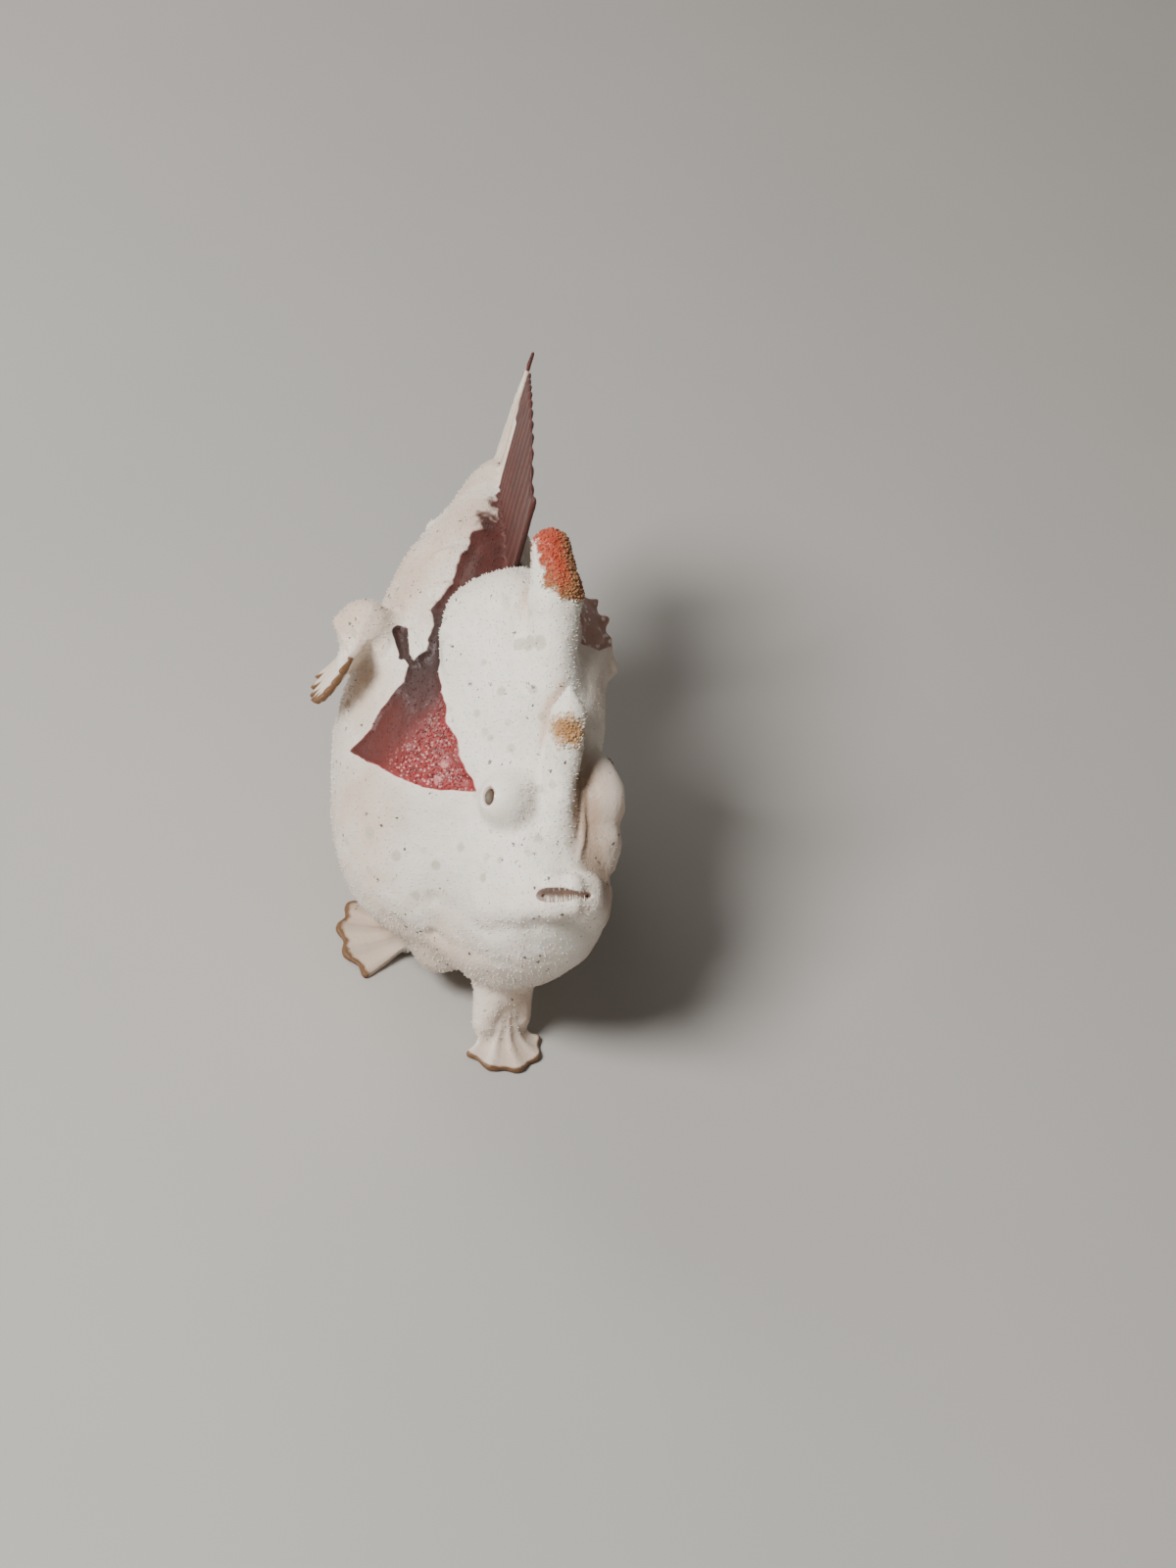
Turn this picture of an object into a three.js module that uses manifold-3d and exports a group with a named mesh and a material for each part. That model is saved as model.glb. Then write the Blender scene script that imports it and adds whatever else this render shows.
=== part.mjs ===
// Juvenile warty frogfish, life size, standing on its fins as on a reef ledge.
// Places are in millimetres from the point midway between the eyes:
// x to the fish's left, y towards its tail, z up, so the fish faces -Y.
import * as THREE from 'three';
import { mergeVertices } from 'three/addons/utils/BufferGeometryUtils.js';
import Module from 'manifold-3d';

const wasm = await Module();
wasm.setup();

// Driving sizes
const EYE_HEIGHT = 16.6; // eye line above the ground
const GAP = 0.3; // clearance between neighbouring pieces
const ROOT_DEPTH = 1.3; // how far a fin or spine is built into its flesh
const HEAD_STEP = 0.9; // facet size on the head
const BODY_STEP = 1.2; // facet size on the torso and tail
const LIMB_STEP = 0.75; // facet size on arms, legs and spines
const MEMBRANE = 0.26; // half the thickness of fin skin
const RAY = 0.42; // half the thickness of a fin ray
const FOOT_FLAT = 0.08; // how far the tips of the standing fins are pressed flat

const EYE_SIDE = 3.3; // half the distance between the centres of the eyes
const EYE_RADIUS = 0.95;
const MOUND_SIDE = 2.75; // the fleshy mound round an eye sits closer to the midline
const MOUND_RADIUS = 1.65;

const SWAY_START = 12; // where the tail starts to swing to the left
const SWAY_LENGTH = 22;
const SWAY = 5.7;
const LIFT_START = 8; // where the tail starts to rise
const LIFT_LENGTH = 26;
const LIFT = 6.5;

const NECK = 7.0; // head ends and torso starts, at eye level
const NECK_SLOPE = 0.16;
const LOIN = 20.5; // torso ends and tail base starts

const MOUTH_TOP = [0, -6.03, -1.6]; // middle of the upturned mouth
const MOUTH_SLOPE = 50; // degrees that the cleft falls towards its corners
const MOUTH_HALF = 3.4; // half the width of the mouth
const MOUTH_FALL = 4.6; // length of the cleft from its middle to the level of its corners
const slope = THREE.MathUtils.degToRad(MOUTH_SLOPE);
const jawNormal = [0, -Math.sin(slope), -Math.cos(slope)];
const TEETH = 9;
const WELD = 0.004; // corners closer than this are one

// Flesh as named masses: centre, radii and how softly each melts into the rest
const BODY_MASSES = [
  { name: 'trunk', at: [-1.5, 9.0, -6.0], r: [8.0, 10.0, 8.6], soft: 0 },
  { name: 'belly', at: [-2.0, 5.4, -9.0], r: [7.5, 7.2, 6.0], soft: 1.6 },
  { name: 'skull', at: [0, 3.0, -4.5], r: [4.5, 5.6, 7.0], soft: 1.8 },
  { name: 'cheeks', at: [0, -0.6, -4.8], r: [4.6, 4.2, 4.4], soft: 1.6 },
  { name: 'muzzle', at: [0, -2.8, -3.4], r: [3.3, 2.9, 2.3], soft: 1.2 },
  { name: 'jaw', at: [0, -3.0, -4.8], r: [3.5, 3.2, 3.4], soft: 1.2 },
  { name: 'chin', at: [0.3, -2.2, -7.4], r: [4.2, 3.8, 3.6], soft: 1.6 },
  { name: 'throat', at: [0, 0.4, -10.2], r: [4.4, 4.8, 3.4], soft: 1.6 },
  { name: 'loin', at: [-1.2, 16.0, -3.6], r: [5.2, 8.2, 6.2], soft: 2.6 },
  { name: 'peduncle', at: [-0.4, 22.6, -3.6], r: [2.3, 5.8, 3.8], soft: 2.2 },
  { name: 'nape', at: [0, 10.2, 2.0], r: [5.5, 4.6, 4.6], soft: 1.4 },
  { name: 'crown', at: [0, 6.4, 1.0], r: [4.3, 4.6, 4.1], soft: 1.6 },
  { name: 'brow_left', at: [2.75, 1.1, 0.5], r: [1.3, 1.9, 1.4], soft: 0.8 },
  { name: 'cheek_left', at: [3.0, -1.4, -2.0], r: [1.6, 1.7, 1.8], soft: 1.0 },
];

const along = (point, normal, distance) => point.map((v, m) => v + normal[m] * distance);

// Distance functions
function ellipsoid(x, y, z, at, r) {
  const a = (x - at[0]) / r[0];
  const b = (y - at[1]) / r[1];
  const c = (z - at[2]) / r[2];
  const k0 = Math.hypot(a, b, c);
  const k1 = Math.hypot(a / r[0], b / r[1], c / r[2]);
  return (k0 * (k0 - 1)) / Math.max(k1, 1e-6);
}

function taper(x, y, z, from, to, r0, r1) {
  const d = [to[0] - from[0], to[1] - from[1], to[2] - from[2]];
  const p = [x - from[0], y - from[1], z - from[2]];
  const dot = p[0] * d[0] + p[1] * d[1] + p[2] * d[2];
  const t = Math.min(1, Math.max(0, dot / (d[0] ** 2 + d[1] ** 2 + d[2] ** 2)));
  return Math.hypot(p[0] - t * d[0], p[1] - t * d[1], p[2] - t * d[2]) - (r0 + (r1 - r0) * t);
}

function melt(a, b, soft) {
  if (soft === 0) return Math.min(a, b);
  const h = Math.min(1, Math.max(0, 0.5 + (0.5 * (b - a)) / soft));
  return b + (a - b) * h - soft * h * (1 - h);
}

// The tail swings to the left and rises: both grow smoothly with y
const unit = (value) => Math.min(1.2, Math.max(0, value));
const sway = (y) => SWAY * unit((y - SWAY_START) / SWAY_LENGTH) ** 1.8;
const lift = (y) => LIFT * unit((y - LIFT_START) / LIFT_LENGTH) ** 1.3;

// The lips run along the cleft, which falls back from its middle to its corners
function lipPoint(t, out) {
  const fall = MOUTH_FALL * Math.abs(t) ** 1.7;
  const [x, y, z] = along(MOUTH_TOP, [0, Math.cos(slope), -Math.sin(slope)], fall);
  return along([x + MOUTH_HALF * t, y, z], jawNormal, out);
}

const LIPS = [];
for (const [out, thick] of [[-0.55, 0.72], [0.6, 0.7]]) {
  for (let i = 0; i < 3; i += 1) {
    LIPS.push({ from: lipPoint(i / 3, out), to: lipPoint((i + 1) / 3, out), thick });
  }
}

function straightBody(x, y, z) {
  let d = 1e3;
  for (const mass of BODY_MASSES) d = melt(d, ellipsoid(x, y, z, mass.at, mass.r), mass.soft);
  const side = Math.abs(x);
  for (const lip of LIPS) d = melt(d, taper(side, y, z, lip.from, lip.to, lip.thick, lip.thick), 0.5);
  return melt(d, Math.hypot(side - MOUND_SIDE, y, z) - MOUND_RADIUS, 0.7);
}

const body = (x, y, z) => straightBody(x - sway(y), y, z - lift(y));

// Surface of a distance function as one closed mesh of evenly sized facets
function surface(distance, low, high, step) {
  const n = [0, 1, 2].map((k) => Math.ceil((high[k] - low[k]) / step) + 1);
  const index = (i, j, k) => (i * n[1] + j) * n[2] + k;
  const value = new Float64Array(n[0] * n[1] * n[2]);
  for (let i = 0; i < n[0]; i += 1) {
    for (let j = 0; j < n[1]; j += 1) {
      for (let k = 0; k < n[2]; k += 1) {
        const d = distance(low[0] + i * step, low[1] + j * step, low[2] + k * step);
        value[index(i, j, k)] = d === 0 ? 1e-9 : d;
      }
    }
  }
  const vertexOf = new Int32Array(value.length).fill(-1);
  const points = [];
  const offsets = [index(1, 0, 0), index(0, 1, 0), index(0, 0, 1)];
  for (let i = 0; i < n[0] - 1; i += 1) {
    for (let j = 0; j < n[1] - 1; j += 1) {
      for (let k = 0; k < n[2] - 1; k += 1) {
        const sum = [0, 0, 0];
        let crossings = 0;
        for (let axis = 0; axis < 3; axis += 1) {
          for (let side = 0; side < 4; side += 1) {
            const corner = [0, 0, 0];
            corner[(axis + 1) % 3] = side % 2;
            corner[(axis + 2) % 3] = side >> 1;
            const at = index(i + corner[0], j + corner[1], k + corner[2]);
            const a = value[at];
            const b = value[at + offsets[axis]];
            if (a < 0 !== b < 0) {
              corner[axis] = a / (a - b);
              for (let m = 0; m < 3; m += 1) sum[m] += corner[m];
              crossings += 1;
            }
          }
        }
        if (crossings > 0) {
          vertexOf[index(i, j, k)] = points.length;
          const place = [i, j, k].map((v, m) => low[m] + (v + sum[m] / crossings) * step);
          points.push(settle(distance, place));
        }
      }
    }
  }
  const triangles = [];
  for (let i = 1; i < n[0] - 1; i += 1) {
    for (let j = 1; j < n[1] - 1; j += 1) {
      for (let k = 1; k < n[2] - 1; k += 1) {
        const at = index(i, j, k);
        for (let axis = 0; axis < 3; axis += 1) {
          const inside = value[at] < 0;
          if (inside === value[at + offsets[axis]] < 0) continue;
          const u = offsets[(axis + 1) % 3];
          const v = offsets[(axis + 2) % 3];
          const quad = [at - u - v, at - v, at, at - u].map((cell) => vertexOf[cell]);
          if (!inside) quad.reverse();
          const [a, b, c, d] = quad;
          const across = distanceBetween(points[a], points[c]);
          const other = distanceBetween(points[b], points[d]);
          if (across < other) triangles.push(a, b, c, a, c, d);
          else triangles.push(b, c, d, b, d, a);
        }
      }
    }
  }
  return solid(points.flat(), triangles);
}

const distanceBetween = (a, b) => Math.hypot(a[0] - b[0], a[1] - b[1], a[2] - b[2]);

// Two short steps down the slope of the distance bring a point onto the surface
function settle(distance, [x, y, z]) {
  const e = 0.05;
  let p = [x, y, z];
  for (let pass = 0; pass < 2; pass += 1) {
    const d = distance(...p);
    const g = [
      distance(p[0] + e, p[1], p[2]) - distance(p[0] - e, p[1], p[2]),
      distance(p[0], p[1] + e, p[2]) - distance(p[0], p[1] - e, p[2]),
      distance(p[0], p[1], p[2] + e) - distance(p[0], p[1], p[2] - e),
    ].map((slope) => slope / (2 * e));
    const steep = Math.max(g[0] ** 2 + g[1] ** 2 + g[2] ** 2, 0.25);
    p = p.map((v, m) => v - (0.8 * d * g[m]) / steep);
  }
  return p;
}

// Solids for joining and cutting
function solid(coordinates, triangles) {
  const vertProperties = new Float32Array(coordinates);
  const triVerts = new Uint32Array(triangles);
  return new wasm.Manifold(new wasm.Mesh({ numProp: 3, vertProperties, triVerts }));
}

function fromGeometry(geometry) {
  const bare = geometry.clone();
  bare.deleteAttribute('normal');
  bare.deleteAttribute('uv');
  const merged = mergeVertices(bare, 1e-5);
  return solid(merged.getAttribute('position').array, merged.index.array);
}

const largest = (shape) => shape.decompose().sort((a, b) => b.volume() - a.volume())[0];

function placed(geometry, at, toward = [0, 0, 1], from = [0, 0, 1]) {
  const turn = new THREE.Quaternion().setFromUnitVectors(
    new THREE.Vector3(...from).normalize(),
    new THREE.Vector3(...toward).normalize(),
  );
  return fromGeometry(geometry.applyQuaternion(turn).translate(...at));
}

// Everything on the side of a plane that its normal points to
function beyond(point, normal) {
  const size = 90;
  const slab = new THREE.BoxGeometry(size, size, size).translate(0, 0, size / 2);
  return placed(slab, point, normal);
}

// The flesh, finer on the head, and the same flesh grown by the gap, which trims what
// stands on it
const BOX_LOW = [-12, -9, -17];
const BOX_HIGH = [12, 31, 11];
const headEnd = NECK + 2;
const foreBody = (x, y, z) => Math.max(body(x, y, z), y - headEnd);
const fore = surface(foreBody, BOX_LOW, [BOX_HIGH[0], headEnd + 1, BOX_HIGH[2]], HEAD_STEP);
const rear = surface(body, BOX_LOW, BOX_HIGH, BODY_STEP);
const clearance = surface((x, y, z) => body(x, y, z) - GAP, BOX_LOW, BOX_HIGH, HEAD_STEP);

const topOf = (x, y) => meetSurface(x, y, 14, -0.05);
const bottomOf = (x, y) => meetSurface(x, y, -18, 0.05);

function meetSurface(x, y, from, step) {
  let z = from;
  while (body(x, y, z) > 0 && Math.abs(z) < 30) z += step;
  return z;
}

// Head, torso and tail base
const neckNormal = new THREE.Vector3(0, 1, NECK_SLOPE).normalize().toArray();
const neckPoint = [0, NECK, 0];
const loinNormal = [0, 1, 0];
const loinPoint = [0, LOIN, 0];
const opposite = (normal) => normal.map((v) => -v);

const wholeHead = fore.intersect(
  beyond(along(neckPoint, neckNormal, -GAP / 2), opposite(neckNormal)),
);
const torso = rear
  .intersect(beyond(along(neckPoint, neckNormal, GAP / 2), neckNormal))
  .intersect(beyond(along(loinPoint, loinNormal, -GAP / 2), opposite(loinNormal)));
const tailBase = rear.intersect(beyond(along(loinPoint, loinNormal, GAP / 2), loinNormal));

// Lower jaw, parted from the head by the mouth cleft and a cut through the cheeks
const cheekPoint = [0, -2.2, -5.0];
const cheekNormal = new THREE.Vector3(0, -1, -0.22).normalize().toArray();
const jawRegion = (extra) =>
  beyond(along(MOUTH_TOP, jawNormal, -extra), jawNormal).intersect(
    beyond(along(cheekPoint, cheekNormal, -extra), cheekNormal),
  );

function mouthHollow() {
  const cleft = new THREE.SphereGeometry(1, 20, 12).scale(MOUTH_HALF * 0.85, 1.7, 0.42);
  return placed(cleft, along(MOUTH_TOP, [0, 0.64, -0.76], 1.0), jawNormal);
}

function teeth() {
  let row = null;
  for (let i = 0; i < TEETH; i += 1) {
    const x = ((i + 0.5) / TEETH - 0.5) * MOUTH_HALF * 1.5;
    const y = MOUTH_TOP[1] + 0.55 + 0.16 * x * x;
    const cone = new THREE.ConeGeometry(0.2, 0.9, 6);
    const z = MOUTH_TOP[2] - 0.75 - 0.16 * x * x;
    const tooth = placed(cone, [x, y, z], opposite(jawNormal), [0, 1, 0]);
    row = row ? row.add(tooth) : tooth;
  }
  return row;
}

const lowerJaw = wholeHead.intersect(jawRegion(0)).subtract(mouthHollow()).add(teeth());

function eyeBall(side, radius, segments) {
  const ball = new THREE.SphereGeometry(radius, segments, (segments * 2) / 3);
  return placed(ball.rotateZ(Math.PI / 2), [side * EYE_SIDE, 0, 0]);
}

function nostril(side) {
  const x = side * 1.7;
  const y = -4.2;
  return placed(new THREE.SphereGeometry(0.32, 8, 6), [x, y, topOf(x, y)]);
}

let head = wholeHead.subtract(jawRegion(GAP));
for (const side of [-1, 1]) {
  head = head.subtract(eyeBall(side, EYE_RADIUS + GAP, 12)).subtract(nostril(side));
}

// Spines of the back
const secondSpineShape = (x, y, z) => {
  const foot = taper(x, y, z, [0, -2.0, -1.8], [0, 2.1, 4.85], 1.1, 1.0);
  return melt(foot, taper(x, y, z, [0, 2.1, 4.85], [0, 2.95, 5.95], 1.0, 0.3), 0.4);
};
const thirdSpineShape = (x, y, z) => {
  const foot = taper(x, y, z, [0, 5.2, 4.2], [-0.1, 8.4, 8.2], 1.35, 1.45);
  return melt(foot, taper(x, y, z, [-0.1, 8.4, 8.2], [-0.15, 11.0, 9.7], 1.45, 1.15), 0.5);
};

function grown(shape, low, high) {
  return surface(shape, low, high, LIMB_STEP).subtract(clearance);
}

const secondSpine = grown(secondSpineShape, [-3, -6, -5], [3, 5, 8]);
const thirdSpine = grown(thirdSpineShape, [-3, 2, 1], [3, 14, 13]);

// Fishing rod folded back along the left of the second spine, and its lure
const ROD_SIDE = 1.75;
const rodPoint = (y) => new THREE.Vector3(ROD_SIDE, y, topOf(ROD_SIDE, y) + 0.62);

function rod() {
  const start = new THREE.Vector3(ROD_SIDE - 0.5, -3.4, topOf(ROD_SIDE - 0.5, -3.4) - 0.9);
  const path = new THREE.CatmullRomCurve3([start, rodPoint(-2.6), rodPoint(-1), rodPoint(1)]);
  const section = new THREE.Shape().absarc(0, 0, 0.27, 0, 2 * Math.PI);
  const options = { steps: 12, curveSegments: 4, bevelEnabled: false, extrudePath: path };
  return fromGeometry(new THREE.ExtrudeGeometry(section, options)).subtract(clearance);
}

function lure() {
  const at = rodPoint(1.9);
  const shape = (x, y, z) => {
    let d = ellipsoid(x, y, z, at.toArray(), [0.62, 0.85, 0.5]);
    for (let i = 0; i < 3; i += 1) {
      const tip = [at.x + 0.5 * (i - 1), at.y + 1.6, at.z + 0.35 + 0.2 * (i % 2)];
      d = melt(d, taper(x, y, z, at.toArray(), tip, 0.32, 0.26), 0.2);
    }
    return d;
  };
  const low = [at.x - 2, at.y - 2, at.z - 2];
  return surface(shape, low, [at.x + 2, at.y + 3, at.z + 2], 0.35).subtract(clearance);
}

const finFullness = (t) => 1 - 0.35 * t;

// A fin is a sheet of rays: middle(i, t) gives its middle layer, t from 0 at the root to 1.
// Even columns are rays, odd columns the skin between them.
function sheet(columns, rows, middle) {
  const facing = (i, t) => {
    const across = middle(i + 0.5, t).sub(middle(i - 0.5, t));
    const outward = middle(i, t + 0.02).sub(middle(i, t - 0.02));
    return across.cross(outward).normalize();
  };
  const points = [];
  for (const side of [1, -1]) {
    for (let i = 0; i <= columns; i += 1) {
      for (let j = 0; j <= rows; j += 1) {
        const t = j / rows;
        const thick = side * (i % 2 === 0 ? RAY : MEMBRANE) * finFullness(t);
        points.push(...middle(i, t).addScaledVector(facing(i, t), thick).toArray());
      }
    }
  }
  const layer = (columns + 1) * (rows + 1);
  const front = (i, j) => i * (rows + 1) + j;
  const back = (i, j) => layer + front(i, j);
  const triangles = [];
  const quad = (a, b, c, d) => triangles.push(a, b, c, a, c, d);
  for (let i = 0; i < columns; i += 1) {
    for (let j = 0; j < rows; j += 1) {
      quad(front(i, j), front(i + 1, j), front(i + 1, j + 1), front(i, j + 1));
      triangles.push(back(i, j), back(i + 1, j + 1), back(i + 1, j));
      triangles.push(back(i, j), back(i, j + 1), back(i + 1, j + 1));
    }
    quad(front(i, 0), back(i, 0), back(i + 1, 0), front(i + 1, 0));
    quad(front(i + 1, rows), back(i + 1, rows), back(i, rows), front(i, rows));
  }
  for (let j = 0; j < rows; j += 1) {
    quad(front(0, j + 1), back(0, j + 1), back(0, j), front(0, j));
    quad(front(columns, j), back(columns, j), back(columns, j + 1), front(columns, j + 1));
  }
  const made = solid(points, triangles);
  return made.volume() > 0 ? made : solid(points, triangles.reverse());
}

// Fins on the midline follow the swing and rise of the tail
const bent = (y, z) => new THREE.Vector3(sway(y), y, z + lift(y));
const straightTop = (y) => topOf(sway(y), y) - lift(y);
const straightBottom = (y) => bottomOf(sway(y), y) - lift(y);

function midlineFin(rays, root, tip) {
  const columns = 2 * (rays - 1);
  const middle = (i, t) => {
    const share = i / columns;
    const reach = i % 2 === 0 ? 1 : 0.97;
    const from = root(share);
    const to = tip(share);
    const y = from[0] + (to[0] - from[0]) * t * reach;
    const z = from[1] + (to[1] - from[1]) * t * reach;
    return bent(y, z);
  };
  return sheet(columns, 5, middle).subtract(clearance);
}

const dorsalFin = midlineFin(
  12,
  (s) => [14.6 + 10.2 * s, straightTop(14.6 + 10.2 * s) - ROOT_DEPTH],
  (s) => {
    const y = 14.6 + 10.2 * s;
    const height = 5.6 * Math.sin(Math.PI * (0.28 + 0.52 * s)) ** 0.7;
    return [y + 1.2 + 3.2 * s, straightTop(y) + height];
  },
);

const analFin = midlineFin(
  7,
  (s) => [18.6 + 6.0 * s, straightBottom(18.6 + 6.0 * s) + ROOT_DEPTH],
  (s) => {
    const y = 18.6 + 6.0 * s;
    const height = 4.6 * Math.sin(Math.PI * (0.3 + 0.45 * s)) ** 0.7;
    return [y + 1.6 + 3.0 * s, straightBottom(y) - height];
  },
);

const TAIL_ROOT = [25.6, -3.6];
const tailFin = midlineFin(
  9,
  (s) => [TAIL_ROOT[0] + 0.8 * Math.sin(Math.PI * s), TAIL_ROOT[1] + 4.2 * (s - 0.5)],
  (s) => {
    const spread = THREE.MathUtils.degToRad(54 * (s - 0.5));
    return [TAIL_ROOT[0] + 8.6 * Math.cos(spread) - 0.4, TAIL_ROOT[1] + 11.2 * Math.sin(spread)];
  },
);

// Limbs: a fleshy arm or leg, and a hand or foot of finger-like rays spread from its wrist
const LIMBS = {
  pectoral_right: {
    root: [-5.6, 13.6, -2.4], wrist: [-8.4, 14.15, 0.15], thick: [2.4, 1.5], wide: 0.3,
    reach: [-0.395, -0.69, -0.59], spread: [-0.069, -0.629, 0.774], length: 5.4, angle: 52,
    rays: 10, notch: 0.14, curl: 0.8, stands: false, palm: 2.0,
  },
  pectoral_left: {
    root: [4.4, 10.4, -8.4], wrist: [8.0, 15.0, -13.9], thick: [2.1, 1.4], wide: 0.4,
    reach: [0.45, 0.89, 0], spread: [0.89, -0.45, 0], length: 5.6, angle: 55,
    rays: 10, notch: 0.1, curl: 0, stands: true, palm: 0,
  },
  pelvic_left: {
    root: [0.15, -1.4, -12.0], wrist: [0.3, -3.4, -15.0], thick: [2.0, 0.75], wide: 1.15,
    reach: [0.25, -0.97, 0], spread: [0.97, 0.25, 0], length: 3.1, angle: 72,
    rays: 5, notch: 0.1, curl: 0, stands: true, palm: 0,
  },
  pelvic_right: {
    root: [-3.2, 0.7, -13.0], wrist: [-2.9, 3.9, -15.2], thick: [1.5, 1.0], wide: 0.5,
    reach: [-0.966, 0.26, 0], spread: [0.26, 0.966, 0], length: 5.2, angle: 50,
    rays: 5, notch: 0.1, curl: 0, stands: true, palm: 0,
  },
};

// Three columns of flesh that part towards the wrist, and a palm beyond it
function limbShape({ root, wrist, thick, reach, spread, wide, palm }) {
  const ends = [-wide, 0, wide].map((side) => along(wrist, spread, side));
  const tip = along(wrist, reach, palm);
  return (x, y, z) => {
    let d = 1e3;
    for (const end of ends) d = melt(d, taper(x, y, z, root, end, ...thick), 0.35);
    if (palm > 0) d = melt(d, taper(x, y, z, wrist, tip, 0.9 * thick[1], 0.5 * thick[1]), 0.5);
    return d;
  };
}

function around(points, margin) {
  const low = [0, 1, 2].map((m) => Math.min(...points.map((p) => p[m])) - margin);
  const high = [0, 1, 2].map((m) => Math.max(...points.map((p) => p[m])) + margin);
  return [low, high];
}

const ground = beyond([0, 0, -EYE_HEIGHT], [0, 0, -1]);

function limb(spec) {
  const [low, high] = around([spec.root, spec.wrist], spec.thick[0] + 1.5);
  return surface(limbShape(spec), low, high, LIMB_STEP).subtract(clearance).subtract(ground);
}

function hand(spec) {
  const reach = new THREE.Vector3(...spec.reach).normalize();
  const spread = new THREE.Vector3(...spec.spread).normalize();
  const facing = new THREE.Vector3().crossVectors(reach, spread).normalize();
  const columns = 2 * (spec.rays - 1);
  const lowest = -EYE_HEIGHT + RAY * finFullness(1) - FOOT_FLAT;
  const middle = (i, t) => {
    const turn = THREE.MathUtils.degToRad(spec.angle) * ((2 * i) / columns - 1);
    const margin = i % 2 === 0 ? 1 : 1 - spec.notch;
    const length = spec.length * margin * (0.86 + 0.14 * Math.cos(turn));
    const out = 0.35 + (length - 0.35) * t;
    const p = new THREE.Vector3(...spec.wrist)
      .addScaledVector(reach, out * Math.cos(turn))
      .addScaledVector(spread, out * Math.sin(turn))
      .addScaledVector(facing, spec.curl * t * t);
    if (spec.stands) p.z = lowest + (spec.wrist[2] - lowest) * (1 - t) ** 2;
    return p;
  };
  const [low, high] = around([spec.root, spec.wrist], spec.thick[0] + 2);
  const grownLimb = (x, y, z) => limbShape(spec)(x, y, z) - GAP;
  return sheet(columns, 6, middle)
    .subtract(surface(grownLimb, low, high, LIMB_STEP))
    .subtract(clearance)
    .subtract(ground);
}

// Colours of the living fish
const CREAM = { color: 0xe9e2d8, roughness: 0.62, metalness: 0 };
const PALE = { color: 0xd9cdbf, roughness: 0.6, metalness: 0 };
const ORANGE = { color: 0xd2693a, roughness: 0.65, metalness: 0 };
const EYE = { color: 0xd8d0c2, roughness: 0.15, metalness: 0 };

const fish = new THREE.Group();

// Cuts leave some corners a hair apart: they are welded, and triangles that this flattens go
function welded({ vertProperties, triVerts }) {
  const geometry = new THREE.BufferGeometry();
  geometry.setAttribute('position', new THREE.BufferAttribute(vertProperties, 3));
  geometry.setIndex(new THREE.BufferAttribute(triVerts, 1));
  const merged = mergeVertices(geometry, WELD);
  const kept = new Map();
  const source = merged.index.array;
  for (let i = 0; i < source.length; i += 3) {
    const corners = [source[i], source[i + 1], source[i + 2]];
    if (new Set(corners).size < 3) continue;
    const key = [...corners].sort((a, b) => a - b).join();
    if (kept.has(key)) kept.delete(key);
    else kept.set(key, corners);
  }
  merged.setIndex([...kept.values()].flat());
  return merged;
}

function piece(name, shape, look) {
  const geometry = welded(largest(shape).getMesh());
  const made = new THREE.Mesh(geometry, new THREE.MeshStandardMaterial(look));
  made.name = name;
  fish.add(made);
}

piece('head', head, CREAM);
piece('lower_jaw', lowerJaw, CREAM);
piece('torso', torso, CREAM);
piece('tail_base', tailBase, CREAM);
piece('eye_left', eyeBall(1, EYE_RADIUS, 15), EYE);
piece('eye_right', eyeBall(-1, EYE_RADIUS, 15), EYE);
piece('second_dorsal_spine', secondSpine, CREAM);
piece('third_dorsal_spine', thirdSpine, ORANGE);
piece('illicium', rod(), PALE);
piece('esca', lure(), PALE);
piece('dorsal_fin', dorsalFin, PALE);
piece('anal_fin', analFin, PALE);
piece('caudal_fin', tailFin, PALE);
for (const [name, spec] of Object.entries(LIMBS)) {
  piece(name.replace('_', '_arm_'), limb(spec), CREAM);
  piece(name.replace('_', '_fin_'), hand(spec), PALE);
}

const box = new THREE.Box3().setFromObject(fish);
const middle = box.getCenter(new THREE.Vector3());
fish.position.set(-middle.x, -middle.y, EYE_HEIGHT);

export default fish;
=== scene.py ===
"""Looks of a juvenile warty frogfish that stands on its fins.

Sizes are millimetres in the fish's own frame: the origin is midway between its eyes, x runs to
its left, y towards its tail and z up, so it faces -Y. scene_point() takes them to the scene.
"""

from functools import partial, partialmethod
from itertools import product
from math import ceil, cos, exp, hypot, pi, radians, sin

import bpy
import numpy as np
from mathutils import Matrix, Vector


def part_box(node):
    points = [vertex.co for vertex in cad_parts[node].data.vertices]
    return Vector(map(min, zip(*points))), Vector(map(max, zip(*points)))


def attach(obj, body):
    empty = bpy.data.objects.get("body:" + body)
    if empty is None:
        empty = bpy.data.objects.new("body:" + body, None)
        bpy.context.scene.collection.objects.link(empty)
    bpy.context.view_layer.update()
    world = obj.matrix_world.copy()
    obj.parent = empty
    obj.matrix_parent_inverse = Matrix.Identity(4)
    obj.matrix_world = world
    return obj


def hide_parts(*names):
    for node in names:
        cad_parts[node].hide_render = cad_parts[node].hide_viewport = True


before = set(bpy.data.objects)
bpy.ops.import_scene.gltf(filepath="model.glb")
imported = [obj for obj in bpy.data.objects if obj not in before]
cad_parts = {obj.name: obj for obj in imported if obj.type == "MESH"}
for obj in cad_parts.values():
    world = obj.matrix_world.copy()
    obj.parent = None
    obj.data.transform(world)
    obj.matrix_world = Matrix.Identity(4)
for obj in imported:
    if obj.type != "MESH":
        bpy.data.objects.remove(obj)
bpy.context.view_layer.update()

# The fish's frame in the scene, and how finely its skin is cut
MM = 0.001
EYE_RIGHT, EYE_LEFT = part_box("eye_right"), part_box("eye_left")
ORIGIN = (EYE_RIGHT[0] + EYE_RIGHT[1] + EYE_LEFT[0] + EYE_LEFT[1]) / 4
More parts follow.
